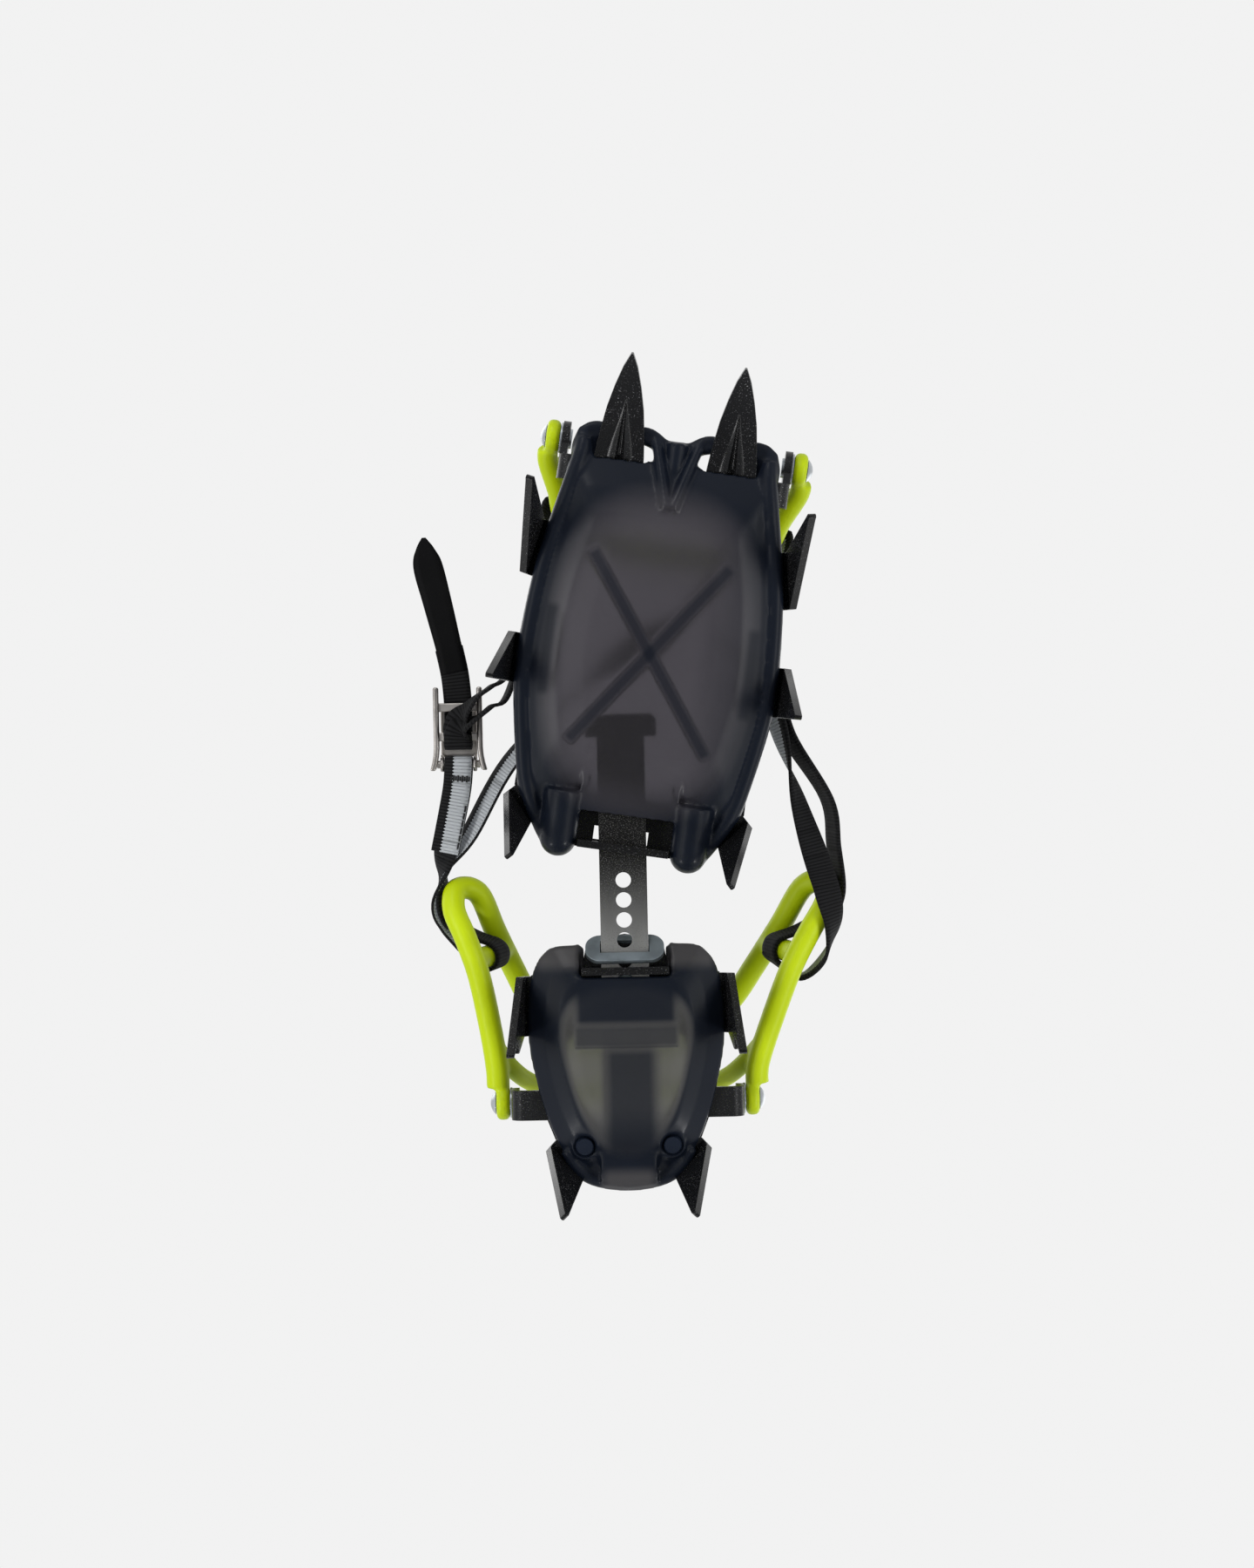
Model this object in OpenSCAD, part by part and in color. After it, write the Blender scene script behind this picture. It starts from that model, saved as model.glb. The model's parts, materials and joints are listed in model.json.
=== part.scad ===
// Strap-on mountaineering crampon: a front and a heel section joined by a perforated bar.
// It stands on its points. +Y is the toe, +Z is up, and Z = 0 is the tips of the points.

/* [Steel frames] */
// Height of the platforms' top face above the tips of the points, mm
platform_z = 42; // [40:1:46]
// Thickness of the pressed steel sheet, mm
sheet_t = 3; // [2.6:0.1:3.2]
// Swivel of the front section on the bar as it lies here, degrees
front_yaw = 9; // [7:0.5:9]

/* [Linking bar] */
// Width of the bar, mm
bar_w = 19; // [17:0.5:20]
// Thickness of the bar, mm
bar_t = 2.5; // [2.2:0.1:2.8]
// Diameter of the adjusting holes, mm
hole_d = 6.2; // [5.6:0.1:6.6]
// Distance between the adjusting holes, mm
hole_pitch = 8; // [7.6:0.1:8.4]

/* [Bails] */
// Diameter of the rivets the bails turn on, mm
rivet_d = 6; // [5:0.2:6.4]
// Diameter of the bails' plastic bars, mm
bail_d = 9.6; // [8.6:0.2:10]

/* [Strap] */
// Width of the webbing, mm
strap_w = 11.5; // [10:0.5:12]
// Thickness of the webbing, mm
strap_t = 1.4; // [1.1:0.1:1.6]

/* [Plates] */
// Wall of the anti-balling plates, mm
plate_wall = 1.8; // [1.5:0.1:2.1]

/* [Hidden] */
$fn = 48;

// Levels
under_z = platform_z - sheet_t;
bar_gap = 4.6;
bar_top = under_z - bar_gap;
bar_low = bar_top - bar_t;
flange_low = bar_low - 4.5;
bail_z = platform_z + 12;

// Places along the crampon
bar_x = 2.3;
pivot_y = -25.9;
flange_v = -8.5;
first_hole = 12.5;
hole_count = 12;
engaged_hole = 3;
lock_lead = 12.3;
heel_y = pivot_y - first_hole - engaged_hole * hole_pitch - lock_lead;

// Clearances
slot_clear = 0.35;
pin_clear = 0.05;
seat_clear = 0.03;
soft_clear = 0.4;
side_clear = 0.15;

// Bends of the sheet
bend_r = 2.5;
bend_steps = 8;
ear_r = 2;
tip_flat = 1.1;
point_root = 8;
root_inset = 0.8;
bend_ease = 0.4;
ear_root = 14;

// Curves through a few points

function catmull(a, b, c, d, t) =
    0.5 * (2 * b + (c - a) * t + (2 * a - 5 * b + 4 * c - d) * t * t + (3 * b - a - 3 * c + d) * t * t * t);

function open_curve(p, n) = let (last = len(p) - 1) concat(
    [for (i = [0:last - 1]) for (k = [0:n - 1])
        catmull(p[max(i - 1, 0)], p[i], p[i + 1], p[min(i + 2, last)], k / n)],
    [p[last]]
);

function loop_curve(p, n) = let (m = len(p))
    [for (i = [0:m - 1]) for (k = [0:n - 1])
        catmull(p[(i + m - 1) % m], p[i], p[(i + 1) % m], p[(i + 2) % m], k / n)];

function reversed(p) = [for (i = [len(p) - 1:-1:0]) p[i]];

// A half outline on +X, listed from rear to front, and its mirror image
function both_sides(half) = concat(half, [for (p = reversed(half)) if (p.x > 0.01) [-p.x, p.y]]);

function unit(v) = v / norm(v);

// Where a point of a section lies in the whole crampon

function front_at(p) = let (v = p.y - flange_v) [
    bar_x + p.x * cos(front_yaw) - v * sin(front_yaw),
    pivot_y + p.x * sin(front_yaw) + v * cos(front_yaw),
    p.z
];

function heel_at(p) = [bar_x + p.x, heel_y + p.y, p.z];

function front_turn(v) = [
    v.x * cos(front_yaw) - v.y * sin(front_yaw),
    v.x * sin(front_yaw) + v.y * cos(front_yaw),
    v.z
];

module in_front() {
    translate([bar_x, pivot_y, 0])
        rotate([0, 0, front_yaw])
            translate([0, -flange_v, 0])
                children();
}

module in_heel() {
    translate([bar_x, heel_y, 0])
        children();
}

module both() {
    children();
    mirror([1, 0, 0])
        children();
}

// Swept solids

// Triangles that join rings of n points each; the rings end in a flat cap
function tube_faces(rings, n) = concat(
    [for (i = [1:n - 2]) [0, i, i + 1]],
    [for (r = [0:rings - 2]) for (i = [0:n - 1]) let (a = r * n + i, b = r * n + (i + 1) % n) [b, a, a + n]],
    [for (r = [0:rings - 2]) for (i = [0:n - 1]) let (a = r * n + i, b = r * n + (i + 1) % n) [b, a + n, b + n]],
    [for (i = [1:n - 2]) let (z = (rings - 1) * n) [z, z + i + 1, z + i]]
);

function tangent(p, i) = unit(p[min(i + 1, len(p) - 1)] - p[max(i - 1, 0)]);

// A round bar along a path; its section is turned away from a centre inside the loop
module round_bar(path, d, centre, sides = 12) {
    rings = [for (i = [0:len(path) - 1])
        let (t = tangent(path, i),
             out = path[i] - centre,
             n1 = unit(out - (out * t) * t),
             n2 = cross(t, n1))
        [for (k = [0:sides - 1]) path[i] + d / 2 * (cos(360 * k / sides) * n1 + sin(360 * k / sides) * n2)]];
    polyhedron(points = [for (r = rings) for (p = r) p], faces = tube_faces(len(path), sides));
}

// A flat band along stations of [place, width direction, half width]
module band(stations, t) {
    path = [for (s = stations) s[0]];
    rings = [for (i = [0:len(path) - 1])
        let (f = tangent(path, i),
             raw = stations[i][1],
             side = unit(raw - (raw * f) * f) * stations[i][2],
             up = unit(cross(f, side)) * t / 2)
        [path[i] + side + up, path[i] - side + up, path[i] - side - up, path[i] + side - up]];
    polyhedron(points = [for (r = rings) for (p = r) p], faces = tube_faces(len(path), 4));
}

// Stations smoothed through control stations
function smooth_stations(c, n) = let (
    p = open_curve([for (s = c) s[0]], n),
    w = open_curve([for (s = c) s[1]], n)
) [for (i = [0:len(p) - 1]) [p[i], w[i], strap_w / 2]];

// Part of a turn round a bar, in four steps: angle 0 is the side named by back
function wrap(c, axis, back, r, from = -90, to = 90) =
    let (a = unit(axis), b = unit(back - (back * a) * a), k = cross(a, b))
    [for (i = [0:4]) let (g = from + (to - from) * i / 4) [c + r * (cos(g) * b + sin(g) * k), a]];

// A hollow dome: rings of [scale, height] run from the pole outside to the pole inside
module dome(outline, centre, rings, pole_out, pole_in) {
    n = len(outline);
    m = len(rings);
    points = concat(
        [[centre.x, centre.y, pole_out]],
        [for (r = rings) for (p = outline) [each centre + r[0] * (p - centre), r[1]]],
        [[centre.x, centre.y, pole_in]]
    );
    last = len(points) - 1;
    faces = concat(
        [for (i = [0:n - 1]) [0, 1 + i, 1 + (i + 1) % n]],
        [for (k = [0:m - 2]) for (i = [0:n - 1])
            let (a = 1 + k * n + i, b = 1 + k * n + (i + 1) % n) [b, a, a + n]],
        [for (k = [0:m - 2]) for (i = [0:n - 1])
            let (a = 1 + k * n + i, b = 1 + k * n + (i + 1) % n) [b, a + n, b + n]],
        [for (i = [0:n - 1]) let (z = 1 + (m - 1) * n) [last, z + (i + 1) % n, z + i]]
    );
    polyhedron(points = points, faces = faces);
}

// Profile of a dome with a wall w, from its lowest middle out to the rim and back inside
function dome_rings(low, w) = let (drop = under_z - low) [
    [0.25, low + 0.02 * drop],
    [0.48, low + 0.08 * drop],
    [0.68, low + 0.22 * drop],
    [0.82, low + 0.42 * drop],
    [0.91, low + 0.62 * drop],
    [0.965, low + 0.74 * drop],
    [0.99, low + 0.8 * drop],
    [1, under_z - 1.6],
    [0.965, under_z],
    [0.89, under_z],
    [0.87, low + 0.76 * drop],
    [0.79, low + 0.42 * drop + w],
    [0.66, low + 0.22 * drop + w],
    [0.48, low + 0.08 * drop + w],
    [0.25, low + 0.02 * drop + w]
];

// Pieces of pressed sheet

// The sheet's section through a bend and along a blade, as [out, up] from the bend's start
function bend_section(turn, long) = let (
    steps = [for (i = [0:bend_steps]) turn * i / bend_steps],
    middle = [0, -sheet_t - bend_r],
    ahead = (long + 2) * [cos(turn), -sin(turn)],
    outer = [for (a = steps) middle + (bend_r + sheet_t) * [sin(a), cos(a)]],
    inner = [for (a = steps) middle + bend_r * [sin(a), cos(a)]]
) concat(
    [[-point_root, -root_inset]], outer, [outer[bend_steps] + ahead, inner[bend_steps] + ahead],
    reversed(inner), [[-point_root, root_inset - sheet_t]]
);

// A point bent down from an edge is [middle of the bend, heading out of the sheet, reach along the
// bend to the front, reach to the rear, place of the tip along the bend, lean of the blade]
function bend_line(p) = [for (along = [-p[3] - bend_ease, p[2] + bend_ease])
    p[0] - bend_ease * [cos(p[1]), sin(p[1])] + along * [-sin(p[1]), cos(p[1])]];

module bent_point(p, shoulder = 0) {
    front = p[2];
    rear = p[3];
    tip = p[4];
    turn = 90 - p[5];
    long = (under_z - bend_r * (1 - cos(turn))) / sin(turn);
    ahead = max(front, tip + tip_flat) + 1;
    behind = max(rear + shoulder, tip_flat - tip) + 1;
    rear_edge = shoulder > 0
        ? [[0.5 * long, -rear - shoulder], [0.58 * long, -rear - shoulder], [0.6 * long, -rear]]
        : [];
    translate([each p[0], platform_z])
        rotate([0, 0, p[1]])
            intersection() {
                translate([0, ahead, 0])
                    rotate([90, 0, 0])
                        linear_extrude(ahead + behind)
                            polygon(bend_section(turn, long));
                translate([0, 0, -sheet_t - bend_r])
                    rotate([0, turn, 0])
                        linear_extrude(2 * platform_z, center = true)
                            polygon(concat(
                                [[-platform_z, -rear], [1, -rear]], rear_edge,
                                [[long - 1, tip - tip_flat], [long, tip - 0.5], [long, tip + 0.5],
                                 [long - 1, tip + tip_flat], [1, front], [-platform_z, front]]));
            }
}

// An ear bent up from an edge, with a hole for a rivet
module ear(start, y0, y1, pin, head_r) {
    difference() {
        union() {
            translate([start - ear_root, y0, under_z])
                cube([ear_root, y1 - y0, sheet_t]);
            translate([start, y1, platform_z + ear_r])
                rotate([0, 90, -90])
                    rotate_extrude(angle = 90)
                        translate([ear_r, 0])
                            square([sheet_t, y1 - y0]);
            translate([start + ear_r, 0, 0])
                rotate([90, 0, 90])
                    linear_extrude(sheet_t) {
                        polygon([[y0, platform_z + ear_r], [y1, platform_z + ear_r],
                                 [pin.x + head_r, pin.y], [pin.x - head_r * 0.8, pin.y + head_r * 0.6]]);
                        translate(pin)
                            circle(head_r);
                    }
        }
        translate([start, pin.x, pin.y])
            rotate([0, 90, 0])
                cylinder(h = 20, r = rivet_d / 2 + seat_clear, center = true);
    }
}

// A flange bent down across a section, with a slot for the bar
module flange(half, slot_half, slot_top) {
    difference() {
        translate([-half, -sheet_t / 2, flange_low])
            cube([2 * half, sheet_t, platform_z - flange_low]);
        translate([-slot_half, -sheet_t, bar_low - slot_clear])
            cube([2 * slot_half, 2 * sheet_t, slot_top - bar_low + slot_clear]);
    }
}

// Front section

swing = 9;
front_slot = bar_w / 2 / cos(swing) + sheet_t / 2 * tan(swing) + slot_clear;
front_flange_half = 18.3;
toe_pin = [153.5, bail_z];
toe_ear_start = 42;
front_point_u = 22.8;
front_edge = 146;
front_point_seat = 5;
front_point_v = front_edge - front_point_seat;
front_slope = 22;

toe_side_point = [[48.4, 107], 10.9, 11, 12, 22, 12];
mid_side_point = [[51.8, 62], 0, 10, 10, -9.5, 8];
rear_side_point = [[41, 4.9], -45, 8, 7.5, -13, 20];

front_steel_half = concat(
    [[0, -10], [21, -10], [24, -5]], bend_line(rear_side_point),
    [[46.5, 20], [48.5, 36]], bend_line(mid_side_point), bend_line(toe_side_point),
    [[43, front_edge - 16], [42, front_edge - 10], [42, front_edge], [0, front_edge]]
);
front_opening_half = [
    [0, 12], [22, 14], [36, 34], [41, 60], [41, 88],
    [36, front_edge - 34], [24, front_edge - 16], [0, front_edge - 10]
];
front_plate_half = [
    [0, 6], [17, 5.5], [29, 1.5], [36, 0.2], [44.4, 7.4], [47.6, 20], [51.4, 40], [53.2, 55], [53.2, 70],
    [51.8, 90], [49.6, 108], [46.8, 122], [44.2, 134],
    [42, front_edge - 1], [33, front_edge + 1.4], [0, front_edge + 1.6]
];
lip_half = [
    [0, 156.6], [4.5, 156.6], [9, 159.5], [13, 160.6], [24, 160.2], [33, 160.6], [36.5, 160],
    [40.5, 157], [42.2, 151], [42.4, 141]
];
front_low = 25;

// Half width of a front point at places along it
point_widths = [[1, 10.4], [8, 10], [18, 8.9], [28, 7.4], [37, 5.3], [45, 2.9], [49.5, 0.9], [50.5, 0.4]];

module front_point() {
    right = [for (p = point_widths) [p[1], p[0]]];
    left = [for (p = reversed(point_widths)) [-p[1], p[0]]];
    translate([front_point_u, front_point_v, platform_z])
        rotate([-front_slope, 0, 0])
            translate([0, 0, -sheet_t])
                difference() {
                    linear_extrude(sheet_t)
                        polygon(concat(right, left));
                    translate([0, 5, 0])
                        rotate([-90, 0, 0])
                            cylinder(h = 27, r1 = 1.8, r2 = 0.2);
                }
}

module front_frame() {
    color("#1b1b1d")
        in_front() {
            translate([0, 0, under_z])
                linear_extrude(sheet_t)
                    difference() {
                        polygon(both_sides(front_steel_half));
                        polygon(loop_curve(both_sides(front_opening_half), 4));
                        translate([-9.5, -6.2])
                            square([22, 5.4]);
                    }
            translate([0, flange_v, 0])
                flange(front_flange_half, front_slot, bar_top + slot_clear);
            both() {
                front_point();
                bent_point(toe_side_point);
                bent_point(mid_side_point);
                bent_point(rear_side_point);
                ear(toe_ear_start, front_edge - 10, front_edge, toe_pin, 7);
            }
        }
}

// The space the front points and their bases take out of the plate
module front_point_room() {
    translate([front_point_u, front_point_v, platform_z])
        rotate([-front_slope, 0, 0])
            translate([-11.2, -20, -sheet_t - soft_clear])
                cube([22.4, 50, 20]);
}

module lip() {
    translate([0, 0, under_z - 1.6])
        linear_extrude(4)
            difference() {
                polygon(both_sides(lip_half));
                translate([-34.6, front_edge - 16])
                    square([69.2, 18]);
                both_openings();
            }
}

module both_openings() {
    for (s = [-1, 1])
        translate([s * 21.2 - 12.4, front_edge + 1])
            square([24.8, 7]);
}

module rear_lobe() {
    difference() {
        translate([26.3, -7.6, under_z - 5.2]) {
            sphere(7.4);
            rotate([-96, 0, 0])
                cylinder(h = 20, r = 7.4);
        }
        translate([0, -40, under_z - soft_clear])
            cube([60, 80, 20]);
    }
}

// Crossed ribs that stiffen the floor of the front dome
rib_w = 4.8;
rib_long = 96;
rib_high = 2.6;
rib_angle = 36;
rib_centre = [0, 70];

module front_dome(lift, wall) {
    outline = loop_curve(both_sides(front_plate_half), 3);
    low = front_low + lift;
    dome(outline, [0, 75], dome_rings(low, wall), low, low + wall);
}

module crossed_ribs() {
    intersection() {
        front_dome(plate_wall / 2, plate_wall / 2 + rib_high);
        for (a = [-rib_angle, rib_angle])
            translate([each rib_centre, front_low])
                rotate([0, 0, a])
                    translate([-rib_w / 2, -rib_long / 2, 0])
                        cube([rib_w, rib_long, 9]);
    }
}

// The floor that runs on under the bar, behind the dome
sill_half = 20;
sill_rear = 4.6;
sill_t = 1.7;

module sill() {
    translate([-sill_half, sill_rear, bar_low - 1.4 - sill_t])
        cube([2 * sill_half, 25, sill_t]);
}

// A clip that stands inside the ring of steel
module side_clip() {
    translate([36.6, 52, under_z - 8])
        cube([2.6, 30, 8 + sheet_t - 0.6]);
}

module front_plate() {
    color("#232a36")
        in_front()
            difference() {
                union() {
                    difference() {
                        front_dome(0, plate_wall);
                        translate([-17, 0, bar_low - 1.2])
                            cube([34, 24, 20]);
                        both()
                            front_point_room();
                    }
                    lip();
                    translate([0, 155.5, under_z - 1])
                        rotate([96, 0, 0])
                            cylinder(h = 27, r1 = 4.6, r2 = 0.6);
                    both() {
                        rear_lobe();
                        side_clip();
                    }
                    crossed_ribs();
                    sill();
                }
                translate([-60, 100, under_z])
                    cube([120, front_edge + 0.6 - 100, 20]);
            }
}

// A rivet along X: shank, domed head outside and a flat closed head inside
module rivet(inside, outside, head_r) {
    rotate([0, 90, 0]) {
        translate([0, 0, inside - 1])
            cylinder(h = 1, r = rivet_d / 2 + 1);
        translate([0, 0, inside - 0.5])
            cylinder(h = outside - inside + 1, r = rivet_d / 2);
        translate([0, 0, outside])
            rotate_extrude()
                intersection() {
                    translate([0, 2.2 - 1.1 * head_r])
                        circle(1.1 * head_r);
                    square([head_r, 3]);
                }
    }
}

washer_t = 0.8;
washer_r = 6.2;
lug_t = 5.6;
head_r = 5.6;

module washer() {
    rotate([0, 90, 0])
        difference() {
            cylinder(h = washer_t, r = washer_r);
            translate([0, 0, -1])
                cylinder(h = 4, r = rivet_d / 2 + seat_clear);
        }
}

// Faces of the pivots across the crampon, from an ear's start
function ear_in(start) = start + ear_r;
function ear_out(start) = start + ear_r + sheet_t;
function lug_in(start) = ear_out(start) + washer_t + side_clear;
function lug_out(start) = lug_in(start) + lug_t;

// A bail's bar starts clear of the rivet's head, with its inner side flush with the lug's
bar_start = head_r + 0.3;
function arm_u(start, bar_r) = lug_in(start) + bar_r;

module toe_bail_rivets() {
    color("#9aa0a4")
        in_front()
            both()
                translate([0, toe_pin.x, toe_pin.y])
                    rivet(ear_in(toe_ear_start), lug_out(toe_ear_start) + side_clear, head_r);
}

module toe_bail_washers() {
    color("#8d9296")
        in_front()
            both()
                translate([ear_out(toe_ear_start), toe_pin.x, toe_pin.y])
                    washer();
}

// The toe bail's bar and the bails' inner braces, as shares of the heel bail's bar
toe_share = 0.9;
brace_share = 0.8;

// Toe bail, in [across, along the arm, ahead of the arm] from the line of its rivets
toe_lean = 55;
function toe_turn(q) = [
    q.x,
    -q.y * sin(toe_lean) + q.z * cos(toe_lean),
    q.y * cos(toe_lean) + q.z * sin(toe_lean)
];
function toe_at(q) = front_at([0, toe_pin.x, toe_pin.y] + toe_turn(q));

toe_arm = arm_u(toe_ear_start, bail_d * toe_share / 2);
toe_over = [
    [toe_arm, bar_start, 0], [toe_arm - 0.6, 12, 0], [46.5, 25, 0], [43, 37, 1], [34, 47, 4], [18, 52, 8], [0, 53.5, 9]
];
toe_front = [[toe_arm - 1.6, 13, 1], [46.4, 17, 6], [37, 20, 11], [20, 22.5, 14.5], [0, 23, 15.5]];

// The whole path across from its left half
function across(half) = concat(half, [for (i = [len(half) - 2:-1:0]) [-half[i].x, half[i].y, half[i].z]]);

lug_r = 7;

module lug(start, pin) {
    translate([lug_in(start), pin.x, pin.y])
        rotate([0, 90, 0])
            cylinder(h = lug_t, r = lug_r);
}

module lug_bore(pin) {
    translate([0, pin.x, pin.y])
        rotate([0, 90, 0])
            cylinder(h = 80, r = rivet_d / 2 + pin_clear);
}

module toe_bail() {
    centre = front_at([0, toe_pin.x, toe_pin.y] + toe_turn([0, 16, 5]));
    color("#b5c80a")
        difference() {
            union() {
                round_bar([for (q = open_curve(across(toe_over), 3)) toe_at(q)], bail_d * toe_share, centre);
                round_bar([for (q = open_curve(across(toe_front), 3)) toe_at(q)], bail_d * brace_share, centre);
                in_front()
                    both()
                        lug(toe_ear_start, toe_pin);
            }
            in_front()
                both()
                    lug_bore(toe_pin);
        }
}

// Linking bar

head_half = 14.3;
head_front = pivot_y + 54;
head_long = 9;
bar_rear = pivot_y - first_hole - (hole_count - 1) * hole_pitch - 20;

module linking_bar() {
    color("#4a4846")
        translate([bar_x, 0, bar_low])
            linear_extrude(bar_t)
                difference() {
                    polygon([
                        [-bar_w / 2, bar_rear + 3], [-bar_w / 2 + 3, bar_rear], [bar_w / 2 - 3, bar_rear],
                        [bar_w / 2, bar_rear + 3], [bar_w / 2, head_front - head_long],
                        [head_half, head_front - head_long], [head_half, head_front - 2],
                        [head_half - 2, head_front], [-head_half + 2, head_front], [-head_half, head_front - 2],
                        [-head_half, head_front - head_long], [-bar_w / 2, head_front - head_long]
                    ]);
                    for (i = [0:hole_count - 1])
                        translate([0, pivot_y - first_hole - i * hole_pitch])
                            circle(d = hole_d);
                }
}

// Heel section

heel_slot = bar_w / 2 + slot_clear;
heel_pin = [-54, bail_z];
heel_ear_start = 42;
heel_low = 25.5;
stud_u = 17.6;
stud_v = -70;

heel_front_point = [[38.4, -14], 0, 12, 12, -16.5, 5];
heel_rear_point = [[22.4, -75.4], -45, 10, 8.5, -10.5, 17.5];

heel_steel_half = concat(
    [[0, -84], [14, -84]], bend_line(heel_rear_point), [[32.5, -60], [35.4, -50], [37.5, -38]],
    bend_line(heel_front_point), [[20, 1.5], [17, 3], [16, 8], [11, 12.8], [0, 14.4]]
);
heel_opening_half = [[0, -66], [10, -64], [18, -54], [23, -42], [24, -30], [18, -25], [0, -24]];
heel_plate_half = [
    [0, -88], [9, -86.6], [17, -82], [24.5, -74.6], [29, -68], [33.6, -56], [36.8, -44], [39.2, -32],
    [39.8, -20], [39, -8], [37, 1], [33, 7.5], [26, 10.6], [0, 11]
];

module heel_frame() {
    color("#1b1b1d")
        in_heel()
            difference() {
                union() {
                    translate([0, 0, under_z])
                        linear_extrude(sheet_t)
                            difference() {
                                polygon(both_sides(heel_steel_half));
                                polygon(loop_curve(both_sides(heel_opening_half), 4));
                            }
                    flange(17.5, heel_slot, under_z - 1);
                    both() {
                        bent_point(heel_front_point, 5);
                        bent_point(heel_rear_point);
                        ear(heel_ear_start, -60, -48, heel_pin, 6);
                    }
                }
                both() {
                    translate([rivet_gap, rivet_back, 0])
                        cylinder(h = 60, r = small_r + seat_clear);
                    translate([stud_u, stud_v, 0])
                        cylinder(h = 60, r = stud_r + seat_clear);
                }
            }
}

module heel_plate() {
    outline = loop_curve(both_sides(heel_plate_half), 3);
    color("#232a36")
        in_heel()
            difference() {
                union() {
                    difference() {
                        dome(outline, [0, -36], dome_rings(heel_low, plate_wall), heel_low, heel_low + plate_wall);
                        translate([-18.2, -2.2, 0])
                            cube([36.4, 40, 60]);
                        translate([-bar_w / 2 - 1, -100, bar_low - 1])
                            cube([bar_w + 2, 98, 20]);
                    }
                    translate([-19.5, -4.4, heel_low + 3])
                        cube([39, 2, bar_low - 1.5 - heel_low - 3]);
                    both()
                        translate([stud_u, stud_v, stud_seat - 1.5])
                            cylinder(h = under_z - stud_seat + 1.5, r = stud_head_r + 1.4);
                }
                both()
                    translate([stud_u, stud_v, 0]) {
                        cylinder(h = 60, r = stud_r + seat_clear);
                        cylinder(h = stud_seat, r = stud_head_r + soft_clear);
                    }
            }
}

// A snap stud: a round head in a seat of the plate, and a shank through the platform
stud_r = 2.2;
stud_head_r = 4;
stud_seat = heel_low + 7;

module heel_plate_studs() {
    color("#2c3442")
        in_heel()
            both()
                translate([stud_u, stud_v, 0]) {
                    translate([0, 0, stud_seat - 2.6])
                        cylinder(h = 2.6, r1 = stud_head_r - 0.8, r2 = stud_head_r);
                    translate([0, 0, stud_seat - 1])
                        cylinder(h = platform_z - stud_seat + 1, r = stud_r);
                }
}

// Lock of the bar: a spring leaf with a nib, its rivets, and the ring round the bar

rivet_gap = 5;
rivet_back = -16;
small_r = 1.6;
leaf_t = 0.9;
nib_back = lock_lead - 2 * hole_pitch;

module lock_tongue() {
    color("#6f7579")
        in_heel()
            difference() {
                union() {
                    translate([-8, -20, under_z - leaf_t])
                        cube([16, 18.2, leaf_t]);
                    translate([0, nib_back, bar_top - 1])
                        cylinder(h = under_z - leaf_t / 2 - bar_top + 1, r = hole_d / 2 - 0.9);
                }
                for (s = [-1, 1])
                    translate([s * rivet_gap, rivet_back, 0])
                        cylinder(h = 60, r = small_r + seat_clear);
            }
}

module lock_rivets() {
    color("#9aa0a4")
        in_heel()
            both()
                translate([rivet_gap, rivet_back, 0]) {
                    translate([0, 0, under_z - leaf_t - 1])
                        cylinder(h = 1, r = small_r + 1.1);
                    translate([0, 0, under_z - leaf_t - 0.5])
                        cylinder(h = platform_z - under_z + leaf_t + 0.5, r = small_r);
                }
}

ring_tilt = 45;
ring_t = 2;
ring_y = 9.1;
ring_half = 15.8;
ring_low = 7.6;
ring_high = 6.1;
ring_slot = (bar_t + 2 * slot_clear + ring_t * cos(ring_tilt)) / sin(ring_tilt) / 2;

// The ring's face, X across and Y up the tilted plate
module ring_face() {
    round = 6;
    difference() {
        union() {
            translate([-ring_half + round, -ring_low])
                square([2 * (ring_half - round), ring_low + ring_high]);
            translate([-ring_half, -ring_low + round])
                square([2 * ring_half, ring_low + ring_high - 2 * round]);
            for (s = [-1, 1]) {
                translate([s * (ring_half - round), -ring_low + round])
                    circle(round);
                translate([s * (ring_half - round), ring_high - round])
                    circle(round);
            }
        }
        translate([-bar_w / 2 - slot_clear, -ring_slot])
            square([bar_w + 2 * slot_clear, 2 * ring_slot]);
    }
}

module lock_ring() {
    color("#8fa0a8")
        in_heel()
            translate([0, ring_y, bar_low + bar_t / 2])
                rotate([ring_tilt, 0, 0])
                    translate([0, 0, -ring_t / 2])
                        linear_extrude(ring_t)
                            ring_face();
}

// Heel bail, folded forward, in [across, ahead of the rivets, above the rivets]

bail_side_lean = 7;
lean_from = 12;
arm_long = 84;
function side_lean(along) = bail_side_lean * max(along - lean_from, 0) / (arm_long - lean_from);
function heel_bail_at(q) = heel_at([q.x - side_lean(q.y), heel_pin.x + q.y, heel_pin.y + q.z]);

heel_arm = arm_u(heel_ear_start, bail_d / 2);
heel_over = [
    [heel_arm, bar_start, 0], [heel_arm + 0.4, 14, 0], [57, 30, 0], [63.5, 52, 0], [70, 67, 1], [76, 79, 4],
    [75.5, 87, 10], [67, 85, 16], [59, 69, 23], [50, 52, 31], [42, 38, 37], [31, 26, 43], [17, 19, 47], [0, 17, 48]
];
heel_under = [[55.4, 24, 0], [48, 14, 7], [41, 7, 19], [32, 2, 32], [19, 0, 42], [0, -1, 45]];
post_low = [65.4, 58, 2];
post_high = [54.6, 61, 26.5];
post_r = 4.6;

function bail_side(s, q) = heel_bail_at([s * q.x, q.y, q.z]);

// A cylinder from one place to another
module rod(a, b, r) {
    d = b - a;
    translate(a)
        rotate([0, acos(d.z / norm(d)), atan2(d.y, d.x)])
            cylinder(h = norm(d), r = r);
}

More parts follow.
